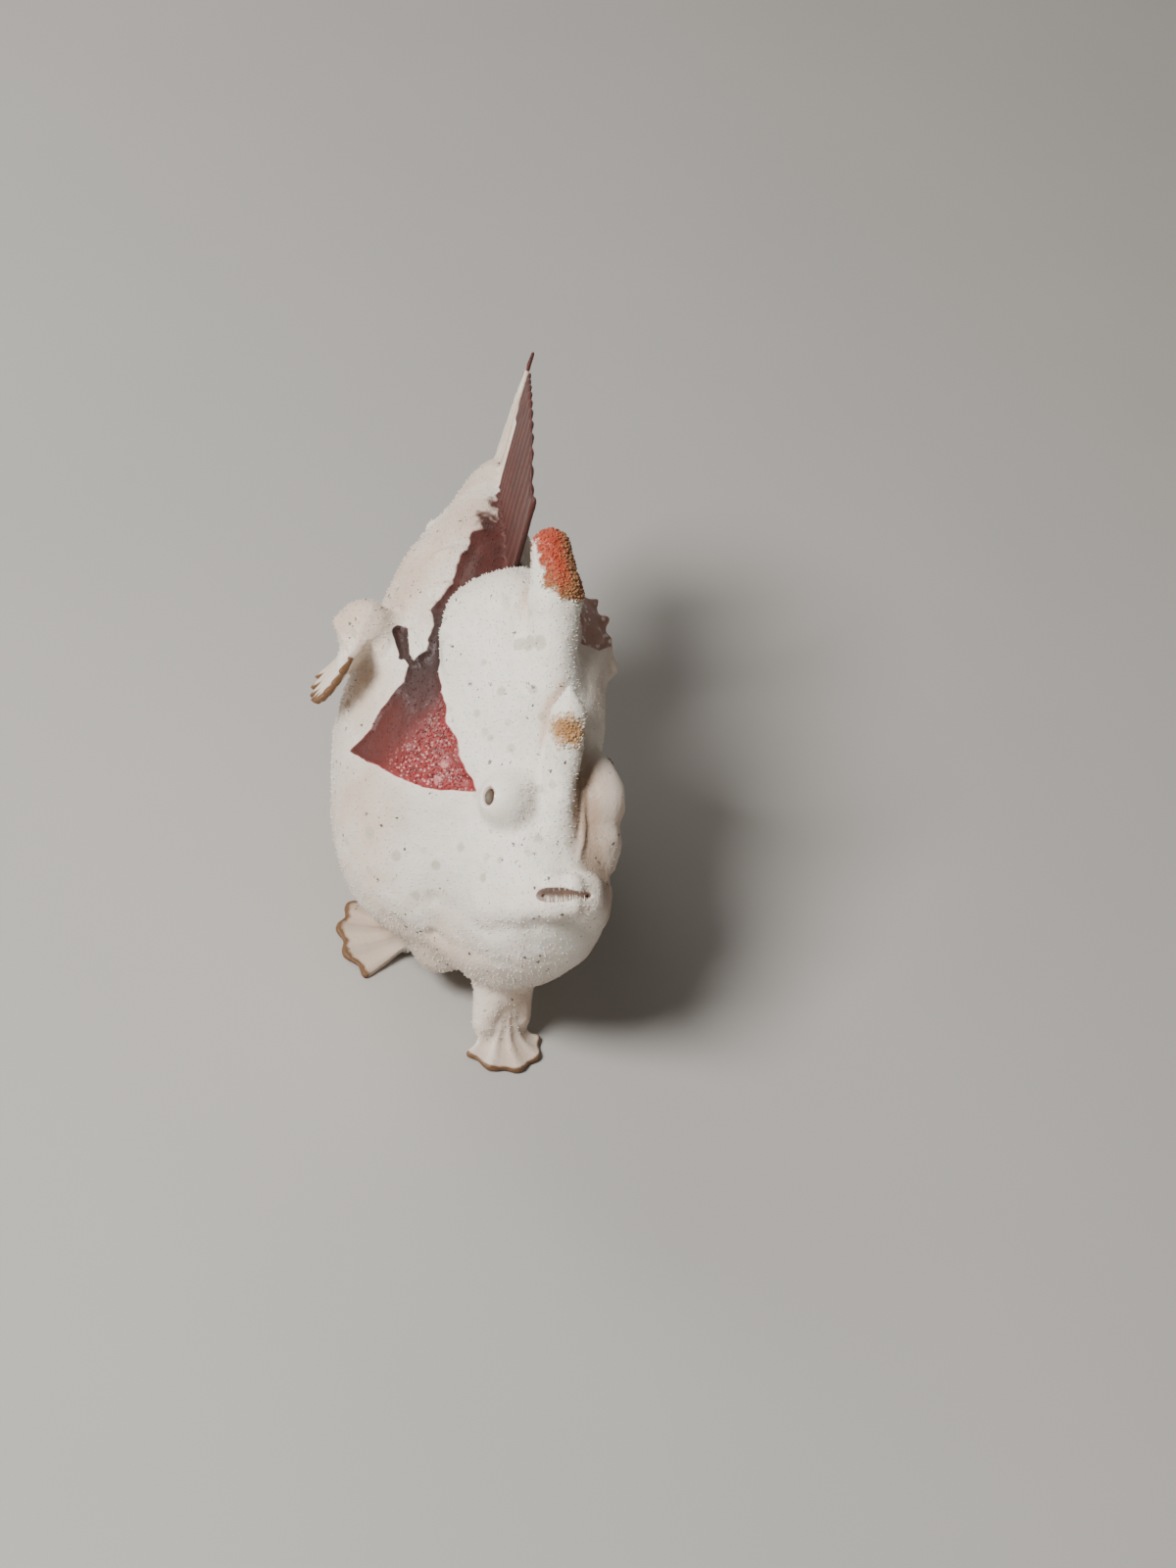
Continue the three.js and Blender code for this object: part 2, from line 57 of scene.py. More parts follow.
EYE_HEIGHT = ORIGIN.z / MM
EYE_RADIUS = (EYE_RIGHT[1].z - EYE_RIGHT[0].z) / 2 / MM
EYE_SIDE = (EYE_LEFT[0].x + EYE_LEFT[1].x) / 2 / MM - ORIGIN.x / MM
SKIN_STEP = 0.1
FAR = 1e3  # a distance beyond every shape
SEED = 7

# The camera: 30 degrees to the fish's right of straight ahead, looking down and rolled
PHOTO_SIZE = (1200, 1600)
PHOTO_SCALE = 17.7  # pixels to a millimetre at the eyes
EYES_AT = (565, 817)  # pixel of the point midway between the eyes
CAMERA_DISTANCE = 200.0
VIEW_SIDE, VIEW_DOWN, VIEW_ROLL = (radians(v) for v in (30, 40, 22))
SENSOR = 36.0

# Flesh: centre, radii and how softly each mass melts into the rest
BODY_MASSES = [
    ("trunk", (-1.5, 9, -6), (8, 10, 8.6), 0),
    ("belly", (-2, 5.4, -9), (7.5, 7.2, 6), 1.6),
    ("skull", (0, 3, -4.5), (4.5, 5.6, 7), 1.8),
    ("cheeks", (0, -0.6, -4.8), (4.6, 4.2, 4.4), 1.6),
    ("muzzle", (0, -2.8, -3.4), (3.3, 2.9, 2.3), 1.2),
    ("jaw", (0, -3, -4.8), (3.5, 3.2, 3.4), 1.2),
    ("chin", (0.3, -2.2, -7.4), (4.2, 3.8, 3.6), 1.6),
    ("throat", (0, 0.4, -10.2), (4.4, 4.8, 3.4), 1.6),
    ("loin", (-1.2, 16, -3.6), (5.2, 8.2, 6.2), 2.6),
    ("peduncle", (-0.4, 22.6, -3.6), (2.3, 5.8, 3.8), 2.2),
    ("nape", (0, 10.2, 2), (5.5, 4.6, 4.6), 1.4),
    ("crown", (0, 6.4, 1), (4.3, 4.6, 4.1), 1.6),
    ("brow_left", (2.75, 1.1, 0.5), (1.3, 1.9, 1.4), 0.8),
    ("cheek_left", (2.8, -1.4, -2), (1.5, 1.7, 1.8), 1),
]
MOUND_SOFT = 0.9
MOUNDS = [((2.3, 0.3, -0.3), 1.35), ((3.05, 0, 0), 1.36)]  # under and round each eye
GAZE = (0.92, -0.14, 0.36)  # where the left eye looks
EYE_OPENING = (0.9, 2.2), (0.56, 0.72)  # its ends along the gaze, and its radii there
NOSTRIL, NOSTRIL_RADIUS = (1.75, -4.15, -0.75), 0.2

# The tail swings to the left and rises
SWAY_START, SWAY_LENGTH, SWAY = 12, 22, 5.7
LIFT_START, LIFT_LENGTH, LIFT = 8, 26, 6.5

MOUTH_TOP = (0, -6.03, -1.6)  # middle of the upturned mouth
MOUTH_SLOPE = radians(50)
MOUTH_HALF, MOUTH_FALL = 3.4, 4.6
JAW_OUT = (0, -sin(MOUTH_SLOPE), -cos(MOUTH_SLOPE))
JAW_BACK = (0, cos(MOUTH_SLOPE), -sin(MOUTH_SLOPE))
LIPS = ((-0.55, 0.7, 0.6), (0.55, 0.62, 0.9))  # upper and lower: place, thickness, softness
CLEFT_IN = 0.7
CLEFT_AT, CLEFT_RADII = (-0.55, -0.65, 0), (1.75, 0.8, 0.42)  # across, inwards and down

MEMBRANE, RAY = 0.13, 0.3  # half the thickness of fin skin and of a ray in it
FIN_SOFT, LIMB_SOFT = 0.45, 0.9  # how softly fins and limbs melt into the body
FRINGE_DEPTH = 1.3  # how deep the dorsal and anal fins stand in the flesh
TAIL_ROOT, TAIL_ROOT_HEIGHT, TAIL_ROOT_ARC = (25.6, -3.6), 4.2, 0.8
TAIL_LENGTH, TAIL_ROUND, TAIL_RADIUS, TAIL_SPREAD = 8.2, 8.6, 11.2, 54
WRIST_GAP = 0.35  # the rays of a hand start this far from the wrist
STANDING = dict(curl=0, stands=True, palm=0)
LIMBS = {
    "pectoral_right": dict(
        root=(-5.6, 13.6, -2.4), wrist=(-8.4, 14.15, 0.15), thick=(2.4, 1.5), wide=0.3,
        reach=(-0.395, -0.69, -0.59), spread=(-0.069, -0.629, 0.774), length=5.4, angle=52,
        rays=10, curl=0.8, stands=False, palm=2),
    "pectoral_left": dict(
        root=(4.4, 10.4, -8.4), wrist=(8, 15, -13.9), thick=(2.1, 1.4), wide=0.4,
        reach=(0.45, 0.89, 0), spread=(0.89, -0.45, 0), length=5.6, angle=55, rays=10,
        **STANDING),
    "pelvic_left": dict(
        root=(0.15, -1.4, -12), wrist=(0.3, -3.4, -15), thick=(2, 0.75), wide=1.15,
        reach=(0.25, -0.97, 0), spread=(0.97, 0.25, 0), length=3.1, angle=72, rays=5,
        **STANDING),
    "pelvic_right": dict(
        root=(-3.2, 0.7, -13), wrist=(-2.9, 3.9, -15.2), thick=(1.5, 1), wide=0.5,
        reach=(-0.966, 0.26, 0), spread=(0.26, 0.966, 0), length=5.2, angle=50, rays=5,
        **STANDING),
}

# Soft valleys on both sides: path along the surface, radius and how softly they sink in
VALLEYS = [
    ([(5.9, 9.6, 2), (5.7, 10.8, 2.9), (4.9, 13.6, 3.2), (3.6, 15.4, 4), (1.8, 18, 5)],
     0.62, 0.7),
    ([(5.75, 9.2, 1.95), (5.6, 6.6, 1.6), (5.9, 5.4, 1.2), (5.3, 3.7, 0.7), (4.75, 2, -0.3)],
     0.3, 0.6),
]

# Creases in the skin: path, radius and softness
FOLDS = [
    ([(-4.9, -1.2, -10.1), (-4.3, -3.2, -9.8), (-3.1, -4.9, -8.7), (-2, -5.9, -8.1)], 0.15, 0.8),
    ([(-5.6, -0.9, -7.6), (-4.6, -2.7, -7)], 0.12, 0.8),
    ([(1.5, -1.8, 1), (1.4, 0.2, 2.1), (1.6, 2, 3.1)], 0.3, 0.9),
    ([(3.4, -3.6, -3), (4.6, -2.2, -4)], 0.2, 0.7),
]

# Fishing rod and the threads of its lure
ROD = [
    (0.9, -3.6, -1), (1.3, -2.6, -0.62), (1.4, -1.8, -0.22), (1.42, -0.8, 0.75),
    (1.42, 0.9, 1.8)]
LURE_TIPS = [(1.15, 1.7, 2.6), (1.45, 1.9, 2.6), (1.75, 1.6, 2.3)]

# Second and third spine: root, bend and tip, radii there, softness of the bend and the root
SPINES = [
    ([(0, -2, -1.8), (0, 2.1, 4.85), (0, 2.95, 5.95)], (1.1, 1, 0.25), 0.4, 0.5),
    ([(0, 5.2, 4.2), (-0.1, 8.4, 8.2), (-0.15, 11, 9.7)], (1.35, 1.45, 1.05), 0.5, 1.1),
]

# Single warts that break the outline: centre and radius
NUBS = [
    (5, 8.6, 2.7, 0.5), (4.6, 10.4, 4.9, 0.42), (4.2, 11.6, 5.3, 0.36),
    (4.75, 9.4, 4.3, 0.3), (5.1, 4.6, -1.2, 0.42), (1.5, -2.2, 0.9, 0.34),
    (1.45, -1.4, 1.3, 0.3), (-7.4, 17.2, -2, 0.45),
    (5.9, 14, -3.2, 0.5), (6.9, 9.6, -5.4, 0.45),
]


def scene_point(point):
    return ORIGIN + Vector(point) * MM


# Distance functions on arrays of x, y and z


def length_of(*parts):
    return np.sqrt(sum(part * part for part in parts))


def share_of(value):
    return np.clip(value, 0, 1)


def nothing(x):
    """The distance to no shape at all, to melt the first one into."""
    return np.full(x.shape, FAR, np.float32)


def ball(x, y, z, at, radius):
    return length_of(x - at[0], y - at[1], z - at[2]) - radius


def ellipsoid(x, y, z, at, radii):
    a, b, c = (x - at[0]) / radii[0], (y - at[1]) / radii[1], (z - at[2]) / radii[2]
    k0 = length_of(a, b, c)
    k1 = length_of(a / radii[0], b / radii[1], c / radii[2])
    return k0 * (k0 - 1) / np.maximum(k1, 1e-6)


def taper(x, y, z, start, end, r0, r1):
    d = [end[m] - start[m] for m in range(3)]
    px, py, pz = x - start[0], y - start[1], z - start[2]
    t = (px * d[0] + py * d[1] + pz * d[2]) / (d[0] ** 2 + d[1] ** 2 + d[2] ** 2)
    t = share_of(t)
    return length_of(px - t * d[0], py - t * d[1], pz - t * d[2]) - (r0 + (r1 - r0) * t)


def melt(a, b, soft):
    """The union of two shapes, with a rounded joint as wide as soft."""
    if soft == 0:
        return np.minimum(a, b)
    h = share_of(0.5 + 0.5 * (b - a) / soft)
    return b + (a - b) * h - soft * h * (1 - h)


def carve(a, b, soft):
    """Shape a with b taken out of it."""
    return -melt(-a, b, soft)


def unit(value):
    return np.clip(value, 0, 1.2)


def sway(y):
    return SWAY * unit((y - SWAY_START) / SWAY_LENGTH) ** 1.8


def lift(y):
    return LIFT * unit((y - LIFT_START) / LIFT_LENGTH) ** 1.3


def along(point, normal, distance):
    return tuple(p + n * distance for p, n in zip(point, normal))


def lip_point(t, out):
    """A point of the lips: t is 0 in the middle of the mouth and 1 at its left corner."""
    x, y, z = along(MOUTH_TOP, JAW_BACK, MOUTH_FALL * abs(t) ** 1.7)
    return along((x + MOUTH_HALF * t, y, z), JAW_OUT, out)


def flesh(x, y, z):
    """The body without limbs, spines and fins."""
    x, z = x - sway(y), z - lift(y)
    d = nothing(x)
    for _, at, radii, soft in BODY_MASSES:
        d = melt(d, ellipsoid(x, y, z, at, radii), soft)
    side = np.abs(x)
    for out, thick, soft in LIPS:
        for i in range(3):
            start, end = lip_point(i / 3, out), lip_point((i + 1) / 3, out)
            d = melt(d, taper(side, y, z, start, end, thick, thick), soft)
    for at, radius in MOUNDS:
        d = melt(d, ball(side, y, z, at, radius), MOUND_SOFT)
    return d


def profile(sign):
    """Height of the back (sign 1) or belly (-1) along the midline, before the tail's rise."""
    ys = np.linspace(12, 28, 60)
    zs = np.linspace(14 if sign > 0 else -18, -3, 400)
    grid_y, grid_z = np.meshgrid(ys, zs, indexing="ij")
    inside = flesh(sway(grid_y), grid_y, grid_z + lift(grid_y)) < 0
    first = np.where(inside.any(axis=1), inside.argmax(axis=1), len(zs) - 1)
    return ys, zs[first]


BACK_LINE, BELLY_LINE = profile(1), profile(-1)


def ridge(ray, sharp=1.5):
    """1 on each ray and 0 midway between two."""
    return (0.5 + 0.5 * np.cos(2 * np.pi * ray)) ** sharp


def melt_out(a, b, soft):
    """The overlap of two shapes, with a rounded edge."""
    return -melt(-a, -b, soft)


def sheet_distance(off, out, side, thickness):
    """A thin sheet with rounded edges: off its middle layer, past its tips, past its sides."""
    edge = melt_out(out, side, 0.3)
    return melt_out(np.abs(off) - np.maximum(thickness, 0.65 * SKIN_STEP), edge, 0.18)


def rayed_sheet(off, t, share, rays, tall, wide, notch, thinning):
    """Distance to a fin, place along its rays from 0 to 1, and the ray number. Its margin is
    notched between the rays and it thins towards them."""
    ray = share * (rays - 1)
    out = (t - (1 - notch + notch * ridge(ray, 0.7))) * tall
    side = np.maximum(-share, share - 1) * wide
    t = share_of(t)
    thickness = (MEMBRANE + (RAY - MEMBRANE) * ridge(ray)) * (1 - thinning * t)
    return sheet_distance(off, out, side, thickness), t, ray


def fringe_fin(x, y, z, start, span, lean, grow, line, sign, height, arch, rays):
    """A fin along the back (sign 1) or belly (-1). Its height follows the part of an arch that
    starts at arch[0] and is arch[1] long."""
    x, z = x - sway(y), z - lift(y)
    share = share_of((y - start) / span)
    for _ in range(3):
        base = np.interp(start + span * share, *line) - sign * FRINGE_DEPTH
        place = arch[0] + arch[1] * share_of(share)
        tall = height * np.sin(np.pi * place) ** 0.7 + FRINGE_DEPTH
        t = sign * (z - base) / tall
        lean_now = np.clip(t, 0, 1.1)
        share = np.clip((y - start - lean * lean_now) / (span + grow * lean_now), -0.05, 1.05)
    return rayed_sheet(x, t, share, rays, tall, span, 0.015, 0.45)


def fan_fin(x, y, z, rays):
    """The tail fin: rays from a short arc spread like a fan."""
    x, z = x - sway(y), z - lift(y)
    share = np.full(x.shape, 0.5, np.float32)
    for _ in range(4):
        root_y = TAIL_ROOT[0] + TAIL_ROOT_ARC * np.sin(np.pi * share_of(share))
        spread = np.radians(TAIL_SPREAD) * (share - 0.5)
        reach = TAIL_LENGTH + TAIL_ROOT[0] - root_y - TAIL_ROUND * (1 - np.cos(spread))
        t = (y - root_y) / reach
        end = 2 * TAIL_RADIUS * sin(radians(TAIL_SPREAD / 2))
        wide = TAIL_ROOT_HEIGHT + (end - TAIL_ROOT_HEIGHT) * np.clip(t, 0, 1.1)
        share = np.clip(0.5 + (z - TAIL_ROOT[1]) / wide, -0.1, 1.1)
    return rayed_sheet(x, t, share, rays, reach, wide, 0.02, 0.5)


def arm(x, y, z, limb):
    """A limb's flesh: three columns that part towards the wrist, and a palm beyond it."""
    d = nothing(x)
    for side in (-limb["wide"], 0, limb["wide"]):
        end = along(limb["wrist"], limb["spread"], side)
        d = melt(d, taper(x, y, z, limb["root"], end, *limb["thick"]), 0.35)
    if limb["palm"] > 0:
        tip = along(limb["wrist"], limb["reach"], limb["palm"])
        wide = limb["thick"][1]
        d = melt(d, taper(x, y, z, limb["wrist"], tip, 0.9 * wide, 0.5 * wide), 0.5)
    return d


def hand_fin(x, y, z, limb):
    """The hand or foot of a limb: finger-like rays spread from the wrist."""
    reach, spread = (np.array(limb[k]) / np.linalg.norm(limb[k]) for k in ("reach", "spread"))
    facing = np.cross(reach, spread)
    px, py, pz = (v - w for v, w in zip((x, y, z), limb["wrist"]))
    forward, across, off = (
        px * way[0] + py * way[1] + pz * way[2] for way in (reach, spread, facing))
    radius = length_of(forward, across)
    turn = np.degrees(np.arctan2(across, forward))
    ray = (0.5 + 0.5 * turn / limb["angle"]) * (limb["rays"] - 1)
    full = limb["length"] * (0.86 + 0.14 * np.cos(np.radians(turn)))
    notch = 0.07 if limb["stands"] else 0.14
    tip = full * (1 - notch + notch * ridge(ray, 0.8))
    t, place = (share_of((radius - WRIST_GAP) / (end - WRIST_GAP)) for end in (full, tip))
    if limb["stands"]:  # it slopes down from the wrist and flattens out on the floor
        drop = limb["wrist"][2] + EYE_HEIGHT - 0.62 * RAY
        middle = -np.sign(facing[2]) * drop * (1 - (1 - t) ** 2)
        steep = 2 * drop * (1 - t) / (full - WRIST_GAP)
    else:
        middle = limb["curl"] * t * t
        steep = 2 * limb["curl"] * t / full
    slant = 1 / np.sqrt(1 + steep * steep)
    side = (np.abs(turn) - limb["angle"]) * np.pi / 180 * np.maximum(radius, 0.3)
    thickness = (MEMBRANE + 0.04 + (RAY - MEMBRANE) * ridge(ray)) * (1 - 0.35 * t)
    return sheet_distance((off - middle) * slant, radius - tip, side, thickness), place, ray


# Each fin is a function of x, y and z that gives what rayed_sheet() does
FINS = {
    "dorsal": partial(
        fringe_fin, start=14.6, span=10.2, lean=1.2, grow=3.2, line=BACK_LINE, sign=1,
        height=5.6, arch=(0.28, 0.52), rays=12),
    "anal": partial(
        fringe_fin, start=18.6, span=6.0, lean=1.6, grow=3.0, line=BELLY_LINE, sign=-1,
        height=4.6, arch=(0.3, 0.45), rays=7),
    "caudal": partial(fan_fin, rays=9),
    **{name: partial(hand_fin, limb=limb) for name, limb in LIMBS.items()},
}


def fin_box(name, margin=1.2):
    """The box of a fin's solid and a margin round it, in the fish's frame."""
    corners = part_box(name.replace("_", "_fin_") if name in LIMBS else name + "_fin")
    low, high = ((corner - ORIGIN) / MM for corner in corners)
    rim = Vector((margin,) * 3)
    return low - rim, high + rim


FIN_BOXES = {name: fin_box(name) for name in FINS}


def within(x, y, z, box):
    inside = True
    for value, low, high in zip((x, y, z), *box):
        inside = inside & (value > low) & (value < high)
    return inside


def chain(x, y, z, points, radius):
    """A round cord through a few points."""
    d = nothing(x)
    for start, end in zip(points, points[1:]):
        d = np.minimum(d, taper(x, y, z, start, end, radius, radius))
    return d


def rod(x, y, z):
    """The fishing rod folded back along the left of the second spine, and its lure."""
    d = chain(x, y, z, ROD, 0.13)
    for tip in LURE_TIPS:
        d = melt(d, taper(x, y, z, ROD[-1], tip, 0.14, 0.08), 0.1)
    return d


def mouth_cleft(x, y, z):
    """The slightly open mouth, and the crease that runs on to its corners."""
    side = np.abs(x)
    at = along(MOUTH_TOP, JAW_BACK, CLEFT_IN)
    py, pz = y - at[1], z - at[2]
    out = py * JAW_OUT[1] + pz * JAW_OUT[2]
    back = py * JAW_BACK[1] + pz * JAW_BACK[2]
    d = ellipsoid(x, back, out, CLEFT_AT, CLEFT_RADII)
    crease = [along(lip_point(i / 4, -0.02), JAW_BACK, -0.3) for i in range(5)]
    for start, end in zip(crease, crease[1:]):
        d = np.minimum(d, taper(side, y, z, start, end, 0.13, 0.07))
    return d


def solid_distance(x, y, z, with_fins=True):
    """The whole fish as one body: flesh, limbs, spines and fins melted together."""
    d = flesh(x, y, z)
    side = np.abs(x)
    for points, radius, soft in VALLEYS:
        d = carve(d, chain(side, y, z, points, radius), soft)
    for *at, radius in NUBS:
        d = melt(d, ball(x, y, z, at, radius), 0.45)
    for limb in LIMBS.values():
        d = melt(d, arm(x, y, z, limb), LIMB_SOFT)
    for points, radii, bend, root in SPINES:
        lower, upper = (taper(x, y, z, *points[i:i + 2], *radii[i:i + 2]) for i in (0, 1))
        d = melt(d, melt(lower, upper, bend), root)
    d = melt(d, rod(x, y, z), 0.3)
    for name, fin in FINS.items():
        near = within(x, y, z, FIN_BOXES[name])
        if with_fins and near.any():
            soft = LIMB_SOFT if name in LIMBS else FIN_SOFT
            d[near] = melt(d[near], fin(x[near], y[near], z[near])[0], soft)
    for points, radius, soft in FOLDS:
        d = carve(d, chain(x, y, z, points, radius), soft)
    return d


def skin_distance(x, y, z):
    """The body with its mouth, nostrils and the openings round its eyes."""
    side = np.abs(x)
    d = carve(solid_distance(x, y, z), mouth_cleft(x, y, z), 0.12)
    ends, radii = EYE_OPENING
    start, end = (along((EYE_SIDE, 0, 0), GAZE, out) for out in ends)
    d = carve(d, taper(side, y, z, start, end, *radii), 0.14)
    return carve(d, ball(side, y, z, NOSTRIL, NOSTRIL_RADIUS), 0.15)


def surface_of(low, high):
    """Vertices and quads of the skin by surface nets. Only blocks near it are evaluated. The
    others count as outside, so thick flesh is hollow."""
    coarse, batch = 8, 400000  # steps in a block's side, and points evaluated at once
    block = coarse * SKIN_STEP
    counts = [int(ceil((high[m] - low[m]) / block)) for m in range(3)]
    centres = [low[m] + (np.arange(counts[m]) + 0.5) * block for m in range(3)]
    middles = (g.ravel().astype(np.float32) for g in np.meshgrid(*centres, indexing="ij"))
    reach = 0.87 * block * 1.35 + SKIN_STEP  # half a block's diagonal, with room to spare
    kept = np.argwhere((np.abs(skin_distance(*middles)) < reach).reshape(counts))
    field = np.full([c * coarse + 1 for c in counts], FAR, np.float32)
    inner = np.arange(coarse + 1)
    offsets = np.stack(np.meshgrid(inner, inner, inner, indexing="ij"), -1).reshape(-1, 3)
    per_batch = max(1, batch // len(offsets))
    for start in range(0, len(kept), per_batch):
        part = kept[start:start + per_batch]
        index = (part[:, None, :] * coarse + offsets[None]).reshape(-1, 3)
        x, y, z = ((low[m] + index[:, m] * SKIN_STEP).astype(np.float32) for m in range(3))
        field[tuple(index.T)] = skin_distance(x, y, z)
    return nets(field, low, SKIN_STEP)


def nets(field, low, step):
    inside = field < 0
    size = field.shape
    total = np.zeros([n - 1 for n in size], np.int8)
    for corner in product((0, 1), repeat=3):
        total += inside[tuple(slice(c, n - 1 + c) for c, n in zip(corner, size))]
    active = (total > 0) & (total < 8)
    cells = np.argwhere(active)
    number = np.full(active.shape, -1, np.int64)
    number[active] = np.arange(len(cells))
    summed, crossings = np.zeros((len(cells), 3)), np.zeros(len(cells))
    for axis in range(3):
        others = [m for m in range(3) if m != axis]
        for a, b in product((0, 1), repeat=2):
            start = np.zeros(3, int)
            start[others] = a, b
            end = start.copy()
            end[axis] = 1
            v0, v1 = field[tuple((cells + start).T)], field[tuple((cells + end).T)]
            cross = (v0 < 0) != (v1 < 0)
            place = np.repeat(start[None].astype(float), cross.sum(), 0)
            place[:, axis] = v0[cross] / (v0[cross] - v1[cross])
            summed[cross] += place
            crossings[cross] += 1
    points = np.array(low) + (cells + summed / crossings[:, None]) * step
    quads = []
    for axis in range(3):
        others = [m for m in range(3) if m != axis]
        first = [slice(1, n - 1) for n in size]
        first[axis] = slice(0, size[axis] - 1)
        second = list(first)
        second[axis] = slice(1, size[axis])
        here = inside[tuple(first)]
        edges = np.argwhere(here != inside[tuple(second)])
        starts_inside = here[tuple(edges.T)]
        base = edges.copy()
        base[:, others] += 1
        corners = []
        for shift in ((1, 1), (0, 1), (0, 0), (1, 0)):
            cell = base.copy()
            cell[:, others] -= shift
            corners.append(number[tuple(cell.T)])
        quad = np.stack(corners, 1)
        flip = starts_inside if axis != 1 else ~starts_inside
        quad[~flip] = quad[~flip][:, ::-1]
        quads.append(quad)
    return points, np.concatenate(quads)


def vertex_normals(points, quads):
    across = points[quads[:, 2]] - points[quads[:, 0]]
    other = points[quads[:, 3]] - points[quads[:, 1]]
    face = np.cross(across, other)
    normals = np.zeros_like(points)
    for corner in range(4):
        for m in range(3):
            normals[:, m] += np.bincount(quads[:, corner], face[:, m], len(points))
    return normals / np.maximum(np.linalg.norm(normals, axis=1, keepdims=True), 1e-12)


def hashed(ix, iy, iz, seed):
    h = (ix * 374761393 + iy * 668265263 + iz * 2147483647 + seed * 144269504) & 0xFFFFFFFF
    h = ((h ^ (h >> 13)) * 1274126177) & 0xFFFFFFFF
    return ((h ^ (h >> 16)) & 0xFFFF) / 65535.0


def lumps(points, size, seed):
    """Smooth noise from -1 to 1 whose lumps are about as wide as size."""
    q = points / size
    low = np.floor(q).astype(np.int64)
    f = q - low
    f = f * f * (3 - 2 * f)
    value = 0
    for corner in product((0, 1), repeat=3):
        weight = 1
        for m, bit in enumerate(corner):
            weight = weight * (f[:, m] if bit else 1 - f[:, m])
        value = value + weight * hashed(*(low + corner).T, seed)
    return 2 * value - 1


def add_object(name, data):
    made = bpy.data.objects.new(name, data)
    bpy.context.scene.collection.objects.link(made)
    return made


def mesh_object(name, points, faces):
    """A smooth-shaded mesh from points in the fish's frame. All faces have as many corners."""
    points, faces = np.asarray(points, float), np.asarray(faces)
    mesh = bpy.data.meshes.new(name)
    mesh.vertices.add(len(points))
    mesh.vertices.foreach_set("co", (points * MM + np.array(ORIGIN)).astype(np.float32).ravel())
    mesh.loops.add(faces.size)
    mesh.loops.foreach_set("vertex_index", faces.ravel().astype(np.int32))
    mesh.polygons.add(len(faces))
    starts = np.arange(0, faces.size, faces.shape[1], dtype=np.int32)
    mesh.polygons.foreach_set("loop_start", starts)
    mesh.polygons.foreach_set("use_smooth", np.ones(len(faces), bool))
    mesh.update(calc_edges=True)
    mesh.validate()
    return add_object(name, mesh)


def add_attributes(piece, values):
    for name, numbers in values.items():
        attribute = piece.data.attributes.new(name, "FLOAT", "POINT")
        attribute.data.foreach_set("value", np.asarray(numbers, np.float32))


def polygon_distance(a, b, corners):
    """Distance to a polygon's edge in the plane of a and b: positive inside."""
    nearest = np.full(a.shape, 1e6)
    inside = np.zeros(a.shape, bool)
    for (a0, b0), (a1, b1) in zip(corners, corners[1:] + corners[:1]):
        da, db = a1 - a0, b1 - b0
        t = share_of(((a - a0) * da + (b - b0) * db) / (da * da + db * db))
        nearest = np.minimum(nearest, (a - a0 - t * da) ** 2 + (b - b0 - t * db) ** 2)
        if b0 != b1:
            crossing = a0 + (b - b0) / (b1 - b0) * da
            inside ^= ((b0 > b) != (b1 > b)) & (a < crossing)
    return np.sqrt(nearest) * np.where(inside, 1, -1)


# The maroon saddle seen from the side: places as y and z. Its front tip is at the eye.
SADDLE = [
    (1.3, -0.7), (2.3, -1.75), (3, -2.15), (4.05, -2.6), (5.75, -3.2), (7.2, -4), (8.4, -4.6),
    (8.1, -3.4), (8, -2.4), (8.7, -1.4), (8.9, -0.35), (9.3, 0.3), (10.3, 0.7), (10.45, 1.2),
    (10.6, 1.65), (11, 2), (12.2, 2.3), (13.6, 2.2), (14.3, 2.7), (15, 3.15), (16.3, 3.45),
    (17.9, 4.05), (18.9, 4.2), (21.2, 4), (23.6, 3.8), (24.6, 5), (25.6, 6.6), (27.9, 7.1),
    (36, 6.4), (36, 30), (13.8, 30), (13.8, 6), (13.8, 3.4)]
# It goes on along the edge of the lobe round the third spine
LOBE_RIGHT = [
    (12.5, 3), (10.8, 2.6), (9.2, 1.75), (7.6, 1.35), (6.5, 1.15), (5.5, 0.75), (4.6, 0.6),
    (3.7, 0.25), (2.6, -0.35)]
LOBE_LEFT = [
    (13.8, 6.5), (11.5, 6.4), (9.3, 6.2), (7.6, 5.5), (7.9, 4.7), (8.7, 4.2), (9.7, 3.6),
    (9.6, 2.6), (8.8, 1.9), (7.6, 1.35), (6.4, 1.15), (5.5, 0.8), (3.7, 0.3), (2.6, -0.35)]
LEFT_FRONT = 4.2  # the left half of the saddle ends here
# A finger of the saddle that runs up the right flank
FINGER = [(-6.7, 11.3, 0.8), (-6.65, 12.9, 1.1)]
FINGER_ROOT = [(-6.4, 9.8, 0.9), (-6.7, 11.3, 0.8)]

# Soft grey spots: centre and radius
SPOTS = [
    (-1.5, 6.8, 6, 0.5), (-1.9, 7.2, 5.6, 0.42), (-1.2, 6.2, 6.6, 0.45),
    (-1.5, 4.4, 4.6, 0.3), (-3, 5.1, 3.7, 0.3),
    (-4.1, 4.9, 2.1, 0.24), (-3.6, 3.3, 1.7, 0.22), (-2.6, 2.3, 1.9, 0.27),
    (-1, 3.1, 3.7, 0.26), (-1.3, -0.2, 1.1, 0.27), (-3.7, 7.1, 4.1, 0.2),
    (-1.4, -2.4, -0.7, 0.26), (0, 2.8, 6.2, 0.14), (-5.7, 0, -5.5, 0.32),
    (-6.4, -0.3, -7.8, 0.3), (-4.8, -0.4, -3.6, 0.28), (-4, -2.7, -3.7, 0.28),
    (-7.6, 1.5, -6.3, 0.34), (-8.8, 3.4, -6.4, 0.38), (-3.4, -2.7, -2.2, 0.22),
    (-6.6, -0.1, -10.2, 0.3)]

